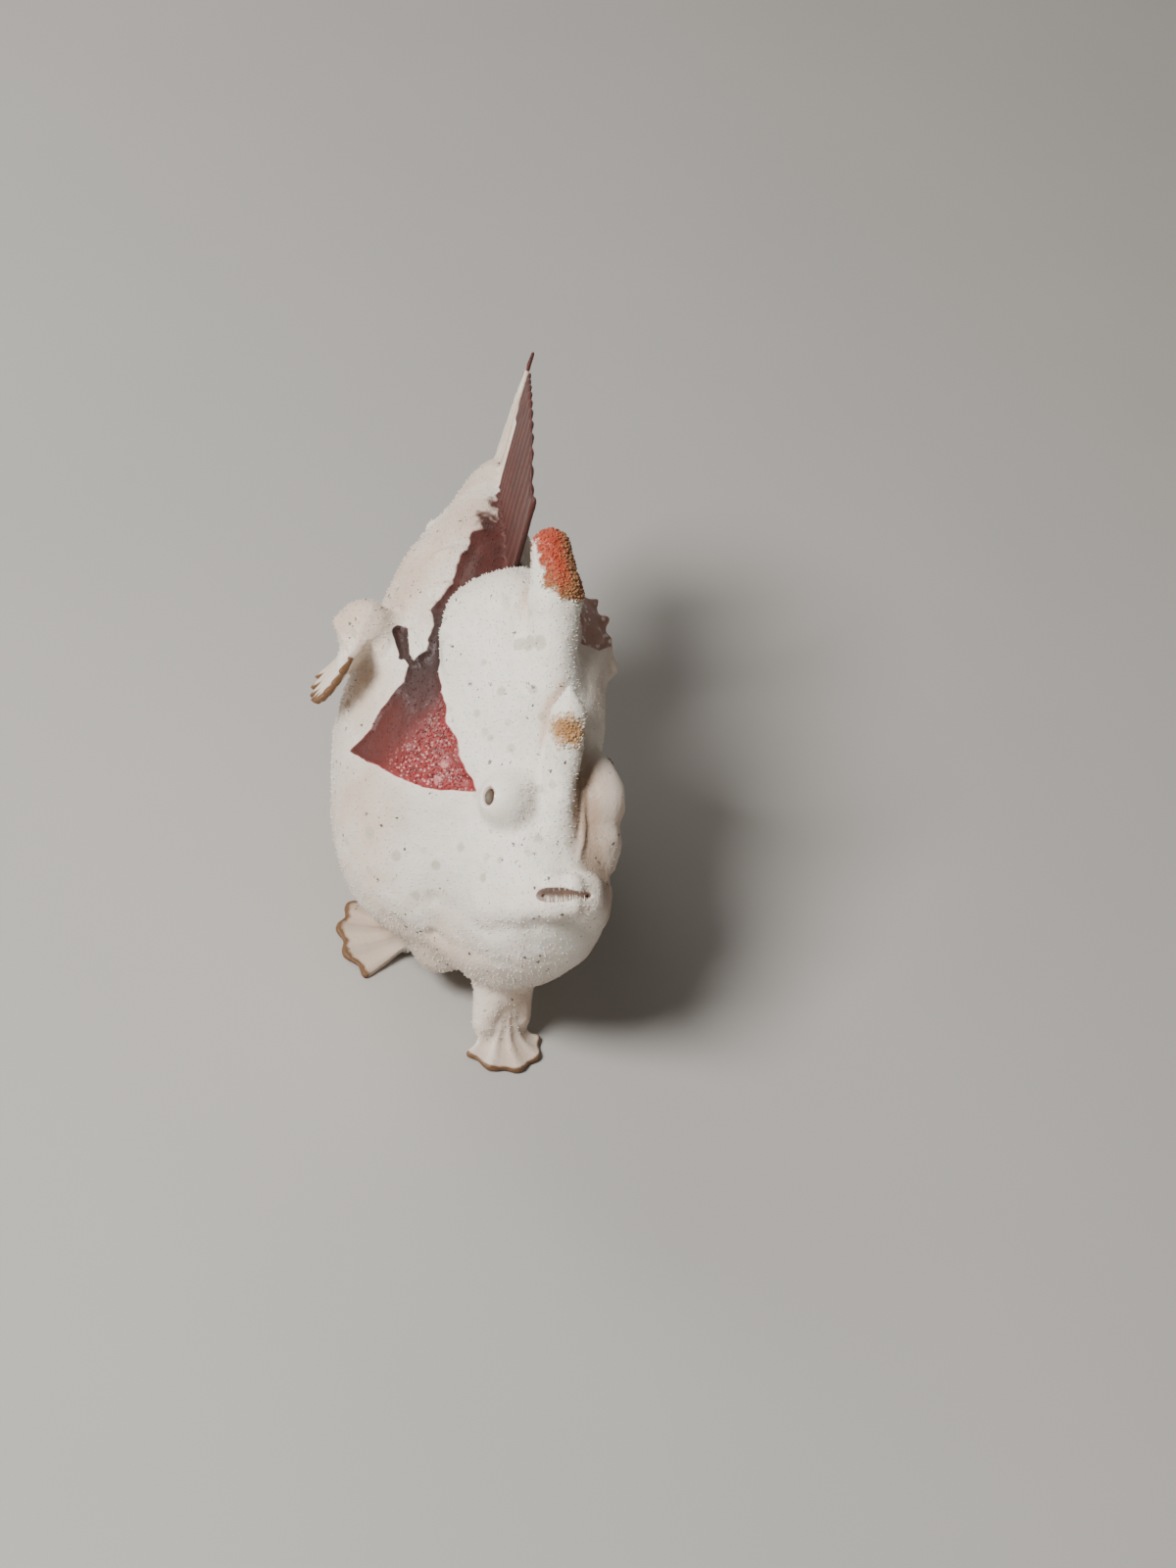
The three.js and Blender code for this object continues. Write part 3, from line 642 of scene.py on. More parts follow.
# The hollow that runs from the second spine past the left eye to the cheek, painted with warm
# shade
HOLLOW = [
    (1.5, 1.2, 3), (1.55, -1, 0.5), (1.7, -2.9, -0.9), (1.9, -4.1, -1.6), (2.8, -4.5, -2.6),
    (3.3, -4.3, -4)]

# Pink knobs in the front of the saddle: centre and radius
KNOBS = [(-5.76, 3.35, -0.58, 0.38), (-6.09, 2.84, -1.37, 0.4), (-6.6, 4, -1.5, 0.24)]

# Orange patches of the spines: centre, radii, how far their edge wanders and their right edge
PATCHES = {
    "patch_two": ((-0.3, 1.1, 4.65), (1.2, 1.2, 1.15), 0.3, -9),
    "patch_three": ((0.3, 9.9, 9.9), (2, 3, 2.5), 0.25, -1.2),
}


def marks_of(points, normals):
    """Colour masks for every point of the skin, as distances or shares from 0 to 1."""
    x, y, z = points.T.astype(np.float32)
    wander = np.stack([lumps(points, 0.9, SEED + 11), lumps(points, 0.35, SEED + 12)], 1)
    wy = y + 0.09 * wander[:, 0] + 0.03 * wander[:, 1]
    wz = z + 0.08 * lumps(points, 0.8, SEED + 13) + 0.03 * lumps(points, 0.3, SEED + 14)
    right_side, left_side = (
        polygon_distance(wy, wz, SADDLE + lobe) for lobe in (LOBE_RIGHT, LOBE_LEFT))
    left_side = np.minimum(left_side, wy - LEFT_FRONT)
    maroon = np.where(x < sway(y), right_side, left_side)
    for limb in LIMBS.values():
        maroon = np.minimum(maroon, arm(x, y, z, limb) - 0.4)
    finger = 0.46 - chain(x, y, z, FINGER, 0) + 0.05 * wander[:, 1]
    finger = np.maximum(finger, 0.22 - chain(x, y, z, FINGER_ROOT, 0))
    marks = {"maroon": np.maximum(maroon, finger)}
    for name, (at, radii, edge, right_edge) in PATCHES.items():
        inside = np.minimum(-ellipsoid(x, y, z, at, radii), x - right_edge)
        marks[name] = inside + edge * wander.mean(1)
    for name, places in (("grey", SPOTS), ("knob", KNOBS)):
        marks[name] = np.full(x.shape, -9.0)
        for *at, radius in places:
            marks[name] = np.maximum(marks[name], -ball(x, y, z, at, radius))
    # How deep a point lies inside the body, as in the mouth and the other openings; the skin's
    # colour paints shade with it
    marks["deep"] = share_of(-solid_distance(x, y, z) / 0.5)
    # Painted shade in creases and hollows: how much flesh lies close along each point's normal,
    # near and further out
    fold = 0
    for out, weight in ((0.35, 0.6), (1.3, 0.7)):
        away = solid_distance(*(points + out * normals).T.astype(np.float32), with_fins=False)
        fold = fold + weight * share_of(1 - away / out)
    marks["fold"] = share_of(fold)
    side = np.abs(x)
    pupil = along((EYE_SIDE, 0, 0), GAZE, EYE_RADIUS)
    marks["eye_ring"] = ball(side, y, z, pupil, 0)
    lips = chain(side, y, z, [lip_point(i / 5, 0.1) for i in range(6)], 0.4)
    marks["lip"] = share_of(1 - lips / 1.4)
    # Painted shade along the hollow by the left eye
    marks["hollow"] = share_of(1 - chain(x, y, z, HOLLOW, 0.5) / 1.2)
    marks.update({key: np.zeros(x.shape) for key in ("fin", "tip", "ray")})
    body = flesh(x, y, z)
    for limb in LIMBS.values():
        body = np.minimum(body, arm(x, y, z, limb))
    for name, fin in FINS.items():
        near = within(x, y, z, FIN_BOXES[name])
        d, t, ray = fin(x[near], y[near], z[near])
        if name in LIMBS:
            marks["maroon"][near] = np.minimum(marks["maroon"][near], d - 0.4)
        own = share_of((body[near] - d) / 0.5)
        better = own > marks["fin"][near]
        where = np.flatnonzero(near)[better]
        for key, share in (("fin", 1), ("tip", t), ("ray", ridge(ray, 1.0))):
            marks[key][where] = (share * own)[better]
    return marks


def smooth_step(value, low, high):
    t = share_of((value - low) / (high - low))
    return t * t * (3 - 2 * t)


RELIEF = ((0.09, 1.8), (0.04, 0.7), (0.014, 0.32))  # height and width of the skin's lumps


def make_skin():
    low, high = (-13.5, -8.6, -EYE_HEIGHT - 0.4), (16.4, 35.8, 12.4)
    points, quads = surface_of(low, high)
    normals = vertex_normals(points, quads)
    marks = marks_of(points, normals)
    calm = np.clip((marks["eye_ring"] - 0.9) / 1.5, 0.1, 1) * (1 - 0.8 * marks["fin"])
    calm *= share_of((points[:, 2] + EYE_HEIGHT) / 1.5)
    relief = sum(high * lumps(points, wide, SEED + i) for i, (high, wide) in enumerate(RELIEF))
    back = smooth_step(points[:, 1], 6, 12)
    warts = smooth_step(lumps(points, 1.25, SEED + 3), 0.45, 0.95)
    relief += (0.05 + 0.22 * back) * warts * (1 - smooth_step(marks["patch_three"], -1.5, -0.5))
    inset = smooth_step(marks["maroon"], -0.05, 0.3) * (1 - marks["fin"])
    relief -= 0.2 * inset
    granules = np.maximum(*(smooth_step(marks[name], -0.1, 0.2) for name in PATCHES))
    relief += granules * (0.05 + 0.05 * lumps(points, 0.25, SEED + 4))
    relief += 0.03 * inset * lumps(points, 0.4, SEED + 5) * smooth_step(-points[:, 1], -10, -5)
    relief += 0.1 * smooth_step(marks["knob"], 0, 0.25)
    points = points + normals * (relief * calm)[:, None]
    points[:, 2] = np.maximum(points[:, 2], -EYE_HEIGHT + 0.01)
    skin = mesh_object("skin", points, quads)
    add_attributes(skin, marks)
    return skin, (points, vertex_normals(points, quads), marks)


def spread_roots(points, wanted, spacing, seed):
    """Numbers of points about a spacing apart, where wanted is true."""
    chosen = np.flatnonzero(wanted)
    chosen = chosen[np.random.default_rng(seed).permutation(len(chosen))]
    cell = np.floor(points[chosen] / spacing).astype(np.int64)
    key = (cell[:, 0] * 1000003 + cell[:, 1]) * 1000003 + cell[:, 2]
    _, first = np.unique(key, return_index=True)
    return chosen[np.sort(first)]


def spike_faces(rings, sides):
    """Triangles between rings of points and up to the tip that follows them."""
    faces = []
    for ring, k in product(range(rings - 1), range(sides)):
        a, b = ring * sides + k, ring * sides + (k + 1) % sides
        faces += [(a, b, b + sides), (a, b + sides, a + sides)]
    last = (rings - 1) * sides
    return np.array(
        faces + [(last + k, last + (k + 1) % sides, last + sides) for k in range(sides)])


def bumps(name, roots, body, rings, sides, lean, seed):
    """One mesh of many small bumps: rings are (radius, height) arrays, one for each root."""
    points, normals, marks = body
    points, normals = points[roots], normals[roots]
    helper = np.where(np.abs(normals[:, 2:3]) < 0.9, (0.0, 0.0, 1.0), (1.0, 0.0, 0.0))
    across = np.cross(normals, helper)
    across /= np.linalg.norm(across, axis=1, keepdims=True)
    other = np.cross(normals, across)
    up = normals + lean * np.array((0.0, 1.0, 0.15))
    up /= np.linalg.norm(up, axis=1, keepdims=True)
    turn = np.random.default_rng(seed).uniform(0, 2 * np.pi, len(roots))
    layers = []
    for (radius, height), k in product(rings, range(sides)):
        angle = turn + 2 * np.pi * k / sides
        ring = across * (radius * np.cos(angle))[:, None]
        ring = ring + other * (radius * np.sin(angle))[:, None]
        layers.append(points + ring + up * height[:, None])
    top = rings[-1][1] + 0.55 * rings[-1][0]
    layers.append(points + up * top[:, None])
    per = len(layers)
    vertices = np.stack(layers, 1).reshape(-1, 3)
    faces = spike_faces(len(rings), sides)[None] + (np.arange(len(roots)) * per)[:, None, None]
    made = mesh_object(name, vertices, faces.reshape(-1, 3))
    add_attributes(made, {key: np.repeat(value[roots], per) for key, value in marks.items()})
    add_bake_map(made, points, per)
    return made


def add_bake_map(piece, roots, per):
    """Each bump is a small patch at its root's place on an unwrap round the body's long axis."""
    turn = np.arctan2(roots[:, 0] + 0.5, roots[:, 2] + 5.0) / (2 * np.pi) + 0.5
    length = (roots[:, 1] + 9) / 46
    place = np.stack([0.01 + 0.98 * turn, 0.01 + 0.98 * length], 1)
    angle = 2 * np.pi * np.arange(per) / per
    patch = 0.0015 * np.stack([np.cos(angle), np.sin(angle)], 1)
    coordinates = (place[:, None, :] + patch[None]).reshape(-1, 2)
    corner = np.empty(len(piece.data.loops), np.int32)
    piece.data.loops.foreach_get("vertex_index", corner)
    layer = piece.data.uv_layers.new(name="OFBake")
    layer.data.foreach_set("uv", coordinates[corner].astype(np.float32).ravel())


def make_camera():
    back = Vector((
        -sin(VIEW_SIDE) * cos(VIEW_DOWN),
        -cos(VIEW_SIDE) * cos(VIEW_DOWN),
        sin(VIEW_DOWN)))
    level = Vector((cos(VIEW_SIDE), -sin(VIEW_SIDE), 0))
    upright = back.cross(level)
    right = level * cos(VIEW_ROLL) + upright * sin(VIEW_ROLL)
    up = -level * sin(VIEW_ROLL) + upright * cos(VIEW_ROLL)
    off_x = (EYES_AT[0] - PHOTO_SIZE[0] / 2) / PHOTO_SCALE
    off_y = (PHOTO_SIZE[1] / 2 - EYES_AT[1]) / PHOTO_SCALE
    place = back * CAMERA_DISTANCE - right * off_x - up * off_y
    data = bpy.data.cameras.new("camera")
    data.sensor_width = SENSOR
    data.lens = PHOTO_SCALE * CAMERA_DISTANCE * SENSOR / max(PHOTO_SIZE)
    data.clip_start, data.clip_end = 0.01, 20
    camera = add_object("camera", data)
    turned = Matrix((right, up, back)).transposed().to_4x4()
    camera.matrix_world = Matrix.Translation(scene_point(place)) @ turned
    bpy.context.scene.camera = camera
    return right, up, back


def make_light(name, place, size, power, colour):
    data = bpy.data.lights.new(name, "AREA")
    data.shape, data.size, data.energy, data.color = "DISK", size, power, colour
    light = add_object(name, data)
    light.location = scene_point((0, 4, -3)) + place
    light.rotation_euler = place.to_track_quat("Z", "Y").to_euler()


class Shader:
    """A node material, built from short calls. Colours are linear."""

    def __init__(self, name):
        self.material = bpy.data.materials.new(name)
        self.material.use_nodes = True
        self.tree = self.material.node_tree
        self.shader = self.tree.nodes["Principled BSDF"]

    def node(self, kind, inputs=(), **settings):
        made = self.tree.nodes.new("ShaderNode" + kind)
        for key, value in settings.items():
            setattr(made, key, value)
        for key, value in dict(inputs).items():
            self.set(made.inputs[key], value)
        return made

    def set(self, socket, value):
        if isinstance(value, bpy.types.NodeSocket):
            self.tree.links.new(value, socket)
        elif socket.type == "RGBA":
            socket.default_value = (*value, 1)
        else:
            socket.default_value = value

    def mark(self, name):
        return self.node("Attribute", attribute_name=name).outputs["Fac"]

    def fold(self, operation, a, *others):
        for b in others:
            a = self.node("Math", {0: a, 1: b}, operation=operation).outputs[0]
        return a

    times, most = partialmethod(fold, "MULTIPLY"), partialmethod(fold, "MAXIMUM")
    add, less = partialmethod(fold, "ADD"), partialmethod(fold, "SUBTRACT")

    def step(self, value, low, high):
        """A smooth rise from 0 at low to 1 at high."""
        inputs = {"Value": value, "From Min": low, "From Max": high}
        made = self.node("MapRange", inputs, interpolation_type="SMOOTHSTEP")
        return made.outputs[0]

    def mix(self, share, a, b):
        made = self.tree.nodes.new("ShaderNodeMix")
        made.data_type = "RGBA"
        for socket, value in ((0, share), (6, a), (7, b)):
            self.set(made.inputs[socket], value)
        return made.outputs[2]

    def tint(self, colour, *layers):
        """A colour under other ones. Each layer is a colour, its share and its strength."""
        for over, *share in layers:
            colour = self.mix(self.times(*share), colour, over)
        return colour

    def noise(self, size, detail=2.0, offset=0.0):
        """Smooth noise whose lumps are about size millimetres wide."""
        where = self.node("VectorMath", {0: self.place(), 1: (offset,) * 3}).outputs[0]
        inputs = {"Vector": where, "Scale": 1 / (size * MM), "Detail": detail}
        return self.node("TexNoise", inputs).outputs["Fac"]

    def cells(self, size):
        """Distance to the nearest of points about size millimetres apart, as a share of size."""
        inputs = {"Vector": self.place(), "Scale": 1 / (size * MM)}
        return self.node("TexVoronoi", inputs).outputs["Distance"]

    def place(self):
        return self.node("TexCoord").outputs["Object"]

    def along(self, axis):
        return self.node("SeparateXYZ", {0: self.place()}).outputs[axis]

    def ramp(self, axis, low, high, wander=None):
        """A smooth rise between two places of the fish's frame, in millimetres."""
        value, zero = self.along(axis), ORIGIN["XYZ".index(axis)]
        if wander is not None:
            value = self.add(value, wander)
        return self.step(value, zero + low * MM, zero + high * MM)

    def bump(self, height, distance, strength, below=None):
        inputs = {"Height": height, "Distance": distance * MM, "Strength": strength}
        if below is not None:
            inputs["Normal"] = below
        return self.node("Bump", inputs).outputs[0]

    def finish(self, **inputs):
        for key, value in inputs.items():
            self.set(self.shader.inputs[key.replace("_", " ")], value)
        return self.material


# Colours of the pale skin
CREAM, CREAM_DULL, CREAM_LIGHT = (0.84, 0.79, 0.705), (0.8, 0.745, 0.655), (0.86, 0.83, 0.77)
# The warm fold colour is painted shade in creases and hollows
# The warm shade colour is painted shade, laid where less light falls
PALE_PINK, WARM_FOLD_SHADE, PAINTED_WARM_SHADE = (0.78, 0.63, 0.53), (0.58, 0.39, 0.29), (0.62, 0.46, 0.355)
# The hollow brown is painted shade in the hollow by the left eye
# The low brown is partly painted shade and partly the browner skin low on the right
# The mouth brown is painted shade inside the mouth and the other openings
HOLLOW_SHADE, LOW_BROWN_AND_SHADE, MOUTH_SHADE = (0.38, 0.26, 0.18), (0.33, 0.235, 0.17), (0.52, 0.42, 0.37)
GREY_SPOT, FLECK, EYE_RING = (0.5, 0.47, 0.38), (0.05, 0.045, 0.035), (0.88, 0.8, 0.76)
FIN_WEB, AMBER = (0.62, 0.5, 0.4), (0.15, 0.075, 0.03)
# Colours of the saddle
CRIMSON, MAROON, BROWN_MAROON = (0.3, 0.034, 0.036), (0.085, 0.022, 0.017), (0.065, 0.02, 0.016)
DARK_MAROON, DARK_GAP, MARGIN_RED = (0.04, 0.018, 0.016), (0.13, 0.02, 0.018), (0.26, 0.025, 0.025)
PINK_GRAIN, GREY_GRAIN, KNOB_PINK = (0.74, 0.34, 0.33), (0.4, 0.27, 0.23), (0.62, 0.26, 0.25)
# The left rose is painted light on the saddle's left half, and the glint is a painted highlight
LIT_LEFT_ROSE, PAINTED_GLINT, HALO_PINK = (0.5, 0.31, 0.26), (0.84, 0.76, 0.7), (0.82, 0.66, 0.62)
# Colours of the orange patches
RED_ORANGE, TAN_ORANGE, GRIT_ORANGE = (0.38, 0.05, 0.02), (0.3, 0.135, 0.055), (0.44, 0.22, 0.11)
OCHRE, PALE_OCHRE = (0.4, 0.21, 0.085), (0.54, 0.34, 0.18)
# Colours of the eyes, the teeth and the floor
IRIS, IRIS_STREAK, IRIS_EDGE = (0.8, 0.76, 0.7), (0.62, 0.48, 0.4), (0.7, 0.5, 0.38)
RIM_DARK, RIM_BROWN = (0.035, 0.018, 0.01), (0.08, 0.045, 0.025)
LENS_MIDDLE, LENS_EDGE = (0.15, 0.125, 0.09), (0.1, 0.08, 0.055)
TOOTH, TOOTH_STAIN = (0.84, 0.8, 0.72), (0.72, 0.64, 0.52)
FLOOR_DARK, FLOOR_PALE = (0.44, 0.43, 0.41), (0.48, 0.465, 0.445)

CORNER_SLOPE = 0.59  # the saddle's grain ends along a line: y less this much of x


def skin_material():
    s = Shader("skin")
    maroon, fine = s.mark("maroon"), s.noise(0.45, 3, 0.01)
    # Painted shade: warmer and darker towards the belly, the back, the right flank and the left
    # cheek, where less light falls
    painted_shade = s.most(
        s.ramp("Z", -4.5, -12), s.ramp("Y", 9, 16), s.ramp("X", -5.5, -9.5),
        s.ramp("X", 1, 3.8))
    painted_shade = s.times(painted_shade, s.step(s.noise(4, 2, 0.04), 0.1, 0.75))
    # Soft grey spots, a few large ones and many small
    small = s.times(s.step(s.cells(1.5), 0.22, 0.12), s.step(s.noise(3, 1, 0.03), 0.5, 0.6))
    spots = s.most(s.step(s.mark("grey"), -0.08, 0.1), s.times(small, 0.7))
    # Tiny dark flecks in loose clusters
    uneven = s.times(s.less(s.noise(0.13, 1, 0.06), 0.5), 0.5)
    flecks = s.most(
        s.step(s.add(s.cells(0.8), uneven), 0.15, 0.11),
        s.step(s.add(s.cells(0.55), uneven), 0.10, 0.07))
    flecks = s.times(flecks, s.step(s.noise(2.4, 2, 0.05), 0.48, 0.58))
    cream = s.tint(
        CREAM, (CREAM_DULL, s.step(s.noise(3.2, 3), 0.35, 0.7)),
        (CREAM_LIGHT, s.step(fine, 0.45, 0.8)),
        # Painted shade in the creases, then the pink of the lips
        (WARM_FOLD_SHADE, s.step(s.mark("fold"), 0.32, 0.9), 0.6), (PALE_PINK, s.mark("lip"), 0.45),
        # Painted shade towards the belly, the back and the flanks, and in the hollow by the left
        # eye
        (PAINTED_WARM_SHADE, painted_shade, 0.85), (HOLLOW_SHADE, s.mark("hollow"), 0.85),
        # Partly painted shade, partly browner skin, low on the right over the right pelvic fin
        (LOW_BROWN_AND_SHADE, s.times(s.ramp("X", -3, -5.5), s.ramp("Z", -11.5, -14)), 0.6),
        (GREY_SPOT, spots, 0.7), (FLECK, flecks, 0.9))
    # Fins: pale rays, browner skin between them and an amber margin
    web = s.mix(s.step(s.mark("ray"), 0.3, 0.9), FIN_WEB, cream)
    rim = s.step(s.add(s.mark("tip"), s.times(fine, 0.08)), 0.93, 1.0)
    cream = s.tint(cream, (web, s.mark("fin"), 0.7), (AMBER, rim))
    # Saddle: grainy crimson by the eye, dark above, and on the left painted lighter and rosy, as
    # if lit, with painted glints
    front, before_fin = s.ramp("Y", 10.5, 3.5), s.ramp("Y", 16, 12)
    to_corner = s.less(s.along("Y"), s.times(s.along("X"), CORNER_SLOPE))
    start = ORIGIN.y - CORNER_SLOPE * ORIGIN.x
    near_eye = s.step(to_corner, start + 11.2 * MM, start + 8.4 * MM)
    grainy = s.times(near_eye, s.step(s.noise(0.9, 2, 0.07), 0.3, 0.45))
    grain = s.mix(s.ramp("Z", 0.2, -2.6), GREY_GRAIN, PINK_GRAIN)
    # Where the saddle's left half gets painted light and painted glints
    left = s.times(s.ramp("X", 1.2, 2.8), before_fin)
    red = s.tint(
        MAROON, (BROWN_MAROON, s.step(s.noise(1.6, 3, 0.02), 0.35, 0.7)),
        (DARK_MAROON, s.ramp("Z", -1.2, 0.6), before_fin),
        (CRIMSON, s.add(s.times(near_eye, 0.75), s.times(front, 0.22))),
        (DARK_GAP, s.times(s.step(s.noise(0.35, 4, 0.08), 0.48, 0.62), near_eye), 0.75),
        (grain, s.times(s.step(s.cells(0.24), 0.42, 0.22), grainy), 0.85),
        (KNOB_PINK, s.step(s.mark("knob"), 0.0, 0.2), 0.75), (LIT_LEFT_ROSE, left, 0.9),
        (PAINTED_GLINT, s.times(s.step(s.cells(0.5), 0.32, 0.22), s.ramp("Y", 12, 10.5)), left),
        (MARGIN_RED, s.step(maroon, 0.16, 0.0), s.times(front, 0.8)))
    halo = s.times(s.step(maroon, -0.3, -0.03), s.add(s.times(front, 0.35), 0.1))
    in_saddle = s.step(maroon, -0.03, 0.04)
    colour = s.tint(cream, (HALO_PINK, halo), (red, in_saddle))
    # The orange patches of the spines. Light goes less deep there and in the saddle.
    thick = s.less(1.0, s.times(in_saddle, 0.85))
    wander = s.times(s.less(s.noise(0.3, 3, 0.11), 0.5), 0.9)
    tan = s.most(
        s.ramp("X", -0.2, 0.6, s.times(wander, 1.6 * MM)),
        s.ramp("Z", 10.2, 9.3, s.times(wander, 2.0 * MM)))
    for mark, near, far, spread in (
        ("patch_two", OCHRE, PALE_OCHRE, 1.6), ("patch_three", RED_ORANGE, TAN_ORANGE, 0.7),
    ):
        patch = s.mark(mark)
        outer = tan if mark == "patch_three" else s.step(s.add(patch, wander), 0.75, 0.15)
        tone = s.tint(near, (far, outer), (GRIT_ORANGE, s.step(s.cells(0.2), 0.5, 0.2), 0.25))
        share = s.add(patch, s.times(wander, spread))
        share = s.step(share, -0.10 * spread, 0.25 * spread)
        colour = s.mix(share, colour, tone)
        thick = s.times(thick, s.less(1.0, s.times(share, 0.7)))
    # A pinkish-white ring round each eye, and painted shade that darkens the mouth and the other
    # openings deeper in
    colour = s.tint(
        colour, (EYE_RING, s.step(s.mark("eye_ring"), 1.0, 0.6), 0.6),
        (MOUTH_SHADE, s.step(s.mark("deep"), 0.1, 0.8)))
    rough = s.add(s.times(s.step(s.noise(0.6, 2, 0.09), 0.2, 0.9), 0.18), 0.45)
    pores = s.bump(s.cells(0.17), 0.03, 0.5)
    s.shader.subsurface_method = "RANDOM_WALK"
    return s.finish(
        Base_Color=colour, Roughness=rough, Subsurface_Weight=s.times(thick, 0.28),
        Normal=s.bump(s.noise(0.28, 4, 0.13), 0.05, 0.5, pores),
        Subsurface_Radius=(1.0, 0.45, 0.3), Subsurface_Scale=0.5 * MM, Specular_IOR_Level=0.4,
        Sheen_Weight=0.12, Sheen_Roughness=0.5, Sheen_Tint=(1.0, 0.96, 0.92))


def eye_material():
    s = Shader("eye")
    out = s.mark("out")
    inputs = {"W": s.times(s.mark("turn"), 14.0), "Detail": 3.0}
    streaks = s.node("TexNoise", inputs, noise_dimensions="1D").outputs["Fac"]
    iris = s.tint(
        IRIS, (IRIS_STREAK, s.step(streaks, 0.4, 0.65)), (IRIS_EDGE, s.step(out, 1.55, 1.15)))
    rim = s.mix(s.step(s.noise(0.12, 2), 0.3, 0.7), RIM_DARK, RIM_BROWN)
    colour = s.tint(
        LENS_MIDDLE, (LENS_EDGE, s.step(out, 0.15, 0.6)), (rim, s.step(out, 0.68, 0.84)),
        (iris, s.step(out, 0.97, 1.1)))
    return s.finish(
        Base_Color=colour, Roughness=0.2, Coat_Weight=1.0, Coat_Roughness=0.03,
        Specular_IOR_Level=0.5, Normal=s.bump(streaks, 0.01, 0.3))


def tooth_material():
    s = Shader("tooth")
    colour = s.mix(s.step(s.noise(0.3, 2), 0.3, 0.7), TOOTH, TOOTH_STAIN)
    return s.finish(
        Base_Color=colour, Roughness=0.25, Subsurface_Weight=0.2, Subsurface_Scale=0.2 * MM,
        Subsurface_Radius=(1.0, 0.6, 0.4), Normal=s.bump(s.noise(0.1, 2), 0.01, 0.3))


PUPIL_UP = (0.0, 0.72, 0.69)  # the way its longer radius points
PUPIL = (0.42, 0.5)  # radii, as shares of the eye's


def make_eye(side, material):
    """An eyeball whose pole looks along the gaze, with an oval pupil sunk into it."""
    gaze = np.array(GAZE) * (side, 1, 1)
    gaze /= np.linalg.norm(gaze)
    upright = np.array(PUPIL_UP)
    upright = upright - gaze * float(np.dot(upright, gaze))
    upright /= np.linalg.norm(upright)
    across = np.cross(upright, gaze)
    rings, segments = 56, 72
    points, out, turns = [], [], []
    for i, j in product(range(rings + 1), range(segments)):
        polar, turn = pi * (i / rings) ** 1.6, 2 * pi * j / segments
        u, v = sin(polar) * cos(turn), sin(polar) * sin(turn)
        oval = hypot(u / PUPIL[0], v / PUPIL[1]) if polar < 1.5 else 9.0
        bulge = 0.045 * exp(-((polar / 0.6) ** 2))
        sunk = 0.03 * max(0.0, 1 - oval * oval)
        direction = across * u + upright * v + gaze * cos(polar)
        radius = EYE_RADIUS * (0.985 + bulge - sunk)
        points.append(np.array((side * EYE_SIDE, 0, 0)) + direction * radius)
        out.append(oval)
        turns.append(cos(turn) + 2 * sin(turn) ** 2)
    faces = []
    for i, j in product(range(rings), range(segments)):
        a, b = i * segments + j, i * segments + (j + 1) % segments
        faces.append((a, a + segments, b + segments, b))
    name = "eyeball_left" if side > 0 else "eyeball_right"
    eye = mesh_object(name, points, faces)
    add_attributes(eye, {"out": out, "turn": turns})
    eye.data.materials.append(material)
    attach(eye, "root")
    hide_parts("eye_left" if side > 0 else "eye_right")


TOOTH_RINGS = ((-0.5, 0.05), (0.25, 0.042), (0.7, 0.025))  # share of its height, and radius


def make_teeth(material):
    """A loose row of needle teeth on the front of each lip."""
    random = np.random.default_rng(SEED + 21)
    points, faces = [], []
    inward = Vector(JAW_BACK)
    for jaw, count, long in ((1, 22, 0.5), (-1, 10, 0.24)):  # lower and upper
        for k in range(count):
            t = ((k + 0.5) / count - 0.5) * 0.74 - 0.06 + random.uniform(-0.01, 0.01)
            base = Vector(lip_point(t, 0.44 * jaw)) + inward * random.uniform(-0.7, -0.55)
            tall = long * random.uniform(0.6, 1.1)
            up = (-jaw * Vector(JAW_OUT) + random.uniform(-0.4, 0.0) * inward).normalized()
            across = up.orthogonal().normalized()
            other = up.cross(across)
            faces.append(spike_faces(3, 6) + len(points))
            for (share, radius), m in product(TOOTH_RINGS, range(6)):
                angle = pi * m / 3
                ring = across * cos(angle) + other * sin(angle)
                points.append(base + up * tall * share + ring * radius + inward * 0.1 * share ** 2)
            points.append(base + up * tall + inward * 0.1)
    teeth = mesh_object("teeth", points, np.concatenate(faces))
    teeth.data.materials.append(material)
    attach(teeth, "root")


def make_stage():
    size = 3.0
    corners = [(-size, -size, 0), (size, -size, 0), (size, size, 0), (-size, size, 0)]
    mesh = bpy.data.meshes.new("floor")
    mesh.from_pydata(corners, [], [(0, 1, 2, 3)])
    floor = add_object("floor", mesh)
    s = Shader("floor")
    colour = s.mix(s.noise(20, 3), FLOOR_DARK, FLOOR_PALE)
    floor.data.materials.append(s.finish(Base_Color=colour, Roughness=0.75))
    world = bpy.data.worlds.new("world")
    bpy.context.scene.world = world
    world.use_nodes = True
    sky = world.node_tree.nodes["Background"]
    sky.inputs["Color"].default_value = (1.0, 0.93, 0.86, 1)
    sky.inputs["Strength"].default_value = 0.12


right, up, back = make_camera()
make_stage()
make_light("key", back * 0.27 - right * 0.13 + up * 0.12, 0.11, 1.75, (1.0, 0.98, 0.95))
make_light("fill", back * 0.25 + right * 0.3 - up * 0.05, 0.25, 0.06, (1.0, 0.86, 0.74))
make_light("rear", Vector((-0.12, 0.3, 0.22)), 0.16, 0.35, (1.0, 0.96, 0.91))

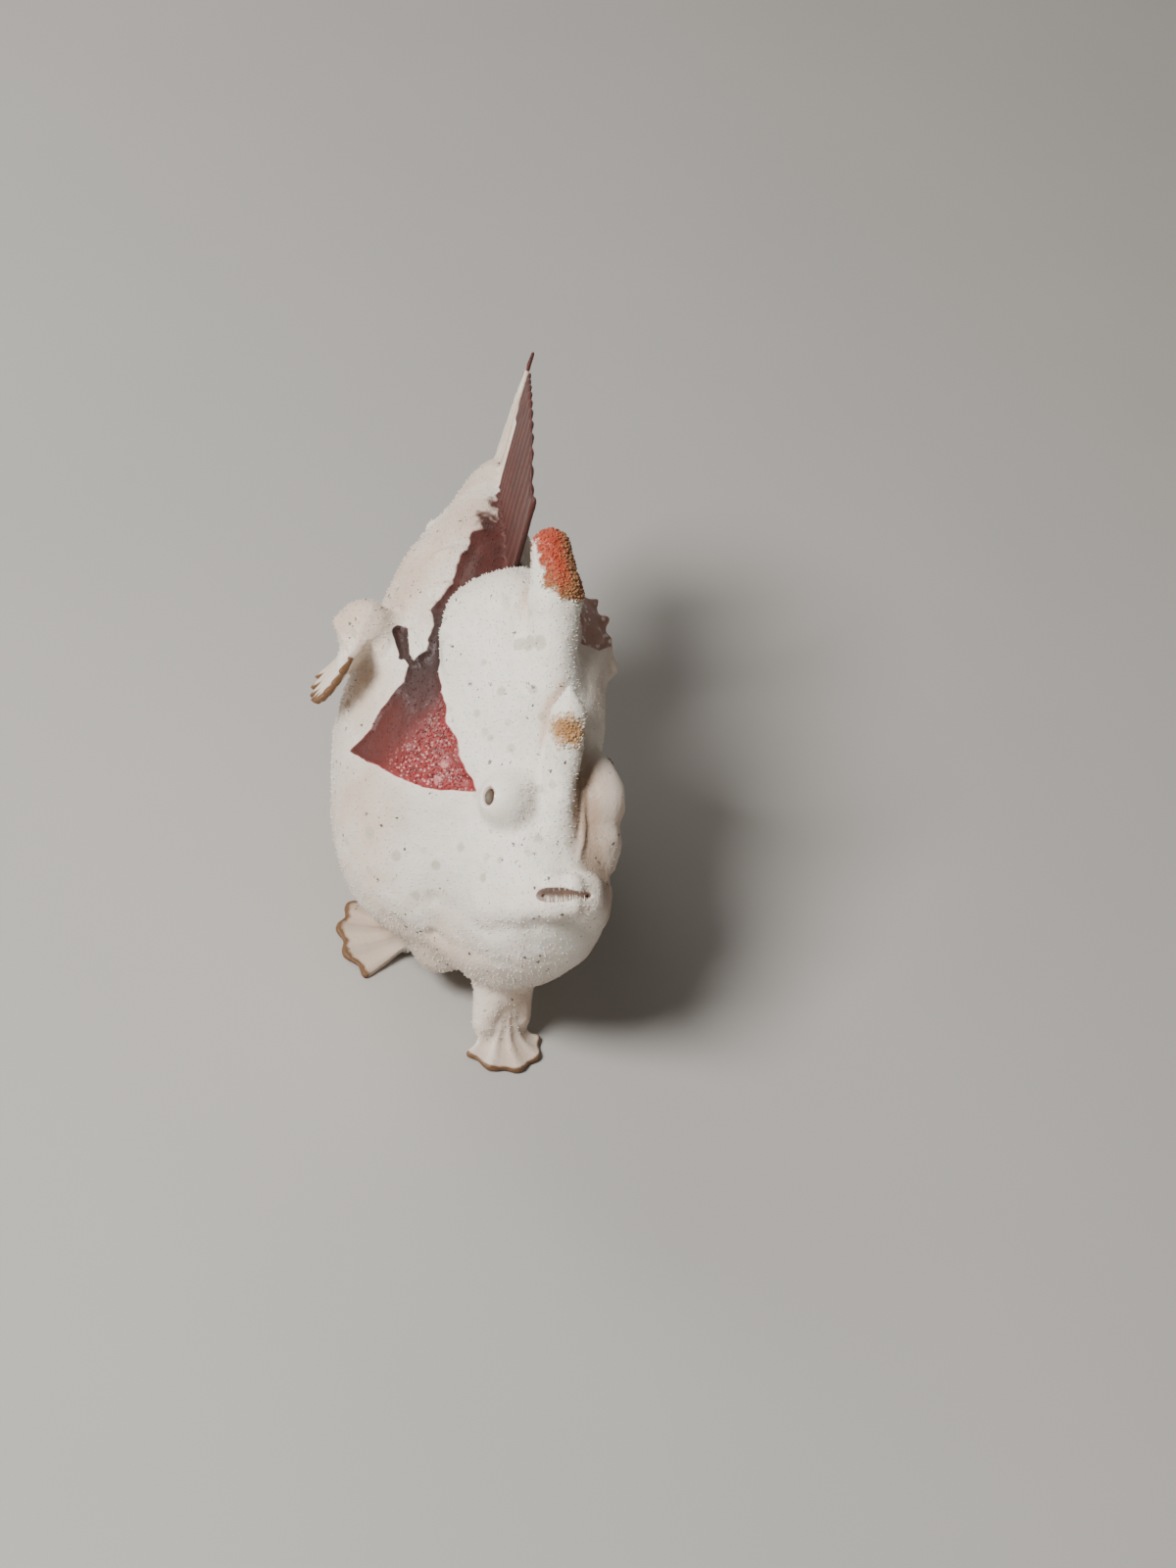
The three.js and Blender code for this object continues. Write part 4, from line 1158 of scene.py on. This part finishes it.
skin, body = make_skin()
points, _, marks = body
skin_look = skin_material()
skin.data.materials.append(skin_look)
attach(skin, "root")
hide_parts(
    "head", "lower_jaw", "torso", "tail_base", "second_dorsal_spine", "third_dorsal_spine",
    "illicium", "esca", "dorsal_fin", "anal_fin", "caudal_fin",
    *[name.replace("_", "_arm_") for name in LIMBS],
    *[name.replace("_", "_fin_") for name in LIMBS])

eye_look = eye_material()
make_eye(1, eye_look)
make_eye(-1, eye_look)
make_teeth(tooth_material())

# Fine prickles over the whole skin
outside = (marks["deep"] < 0.1) & (marks["eye_ring"] > 0.75) & (marks["fin"] < 0.9)
outside &= points[:, 2] > -EYE_HEIGHT + 0.4
roots = spread_roots(points, outside, 0.42, SEED + 31)
size = np.random.default_rng(SEED + 32).uniform(0.7, 1.25, len(roots))
size *= np.clip(marks["eye_ring"][roots] / 2.5, 0.5, 1)
size *= 1 - 0.5 * smooth_step(points[roots, 0], 0.5, 2.0)
rings = [(0.05 * size, -0.03 * size), (0.022 * size, 0.09 * size)]
prickles = bumps("prickles", roots, body, rings, 4, 0.35, SEED + 33)
prickles.data.materials.append(skin_look)
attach(prickles, "root")

# Round granules that crowd on the orange patches and the front of the saddle
GRANULE_RINGS = ((0.085, -0.03), (0.075, 0.03), (0.045, 0.065))  # radius and height
patches = np.maximum(marks["patch_two"], marks["patch_three"])
grainy = (marks["maroon"] > 0.08) & (points[:, 1] - CORNER_SLOPE * points[:, 0] < 9.9)
grainy &= (points[:, 0] < 0) & (lumps(points, 1.1, SEED + 40) > -0.35)
for name, wanted, spacing, slot in (
    ("patch_granules", patches > 0.02, 0.21, "orange_patch"),
    ("saddle_granules", grainy, 0.25, "skin"),
):
    roots = spread_roots(points, wanted & (marks["deep"] < 0.1), spacing, SEED + 41)
    size = np.random.default_rng(SEED + 42).uniform(0.7, 1.3, len(roots))
    rings = [(wide * size, high * size) for wide, high in GRANULE_RINGS]
    granules = bumps(name, roots, body, rings, 6, 0.0, SEED + 43)
    granules.data.materials.append(skin_look)
    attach(granules, "root")
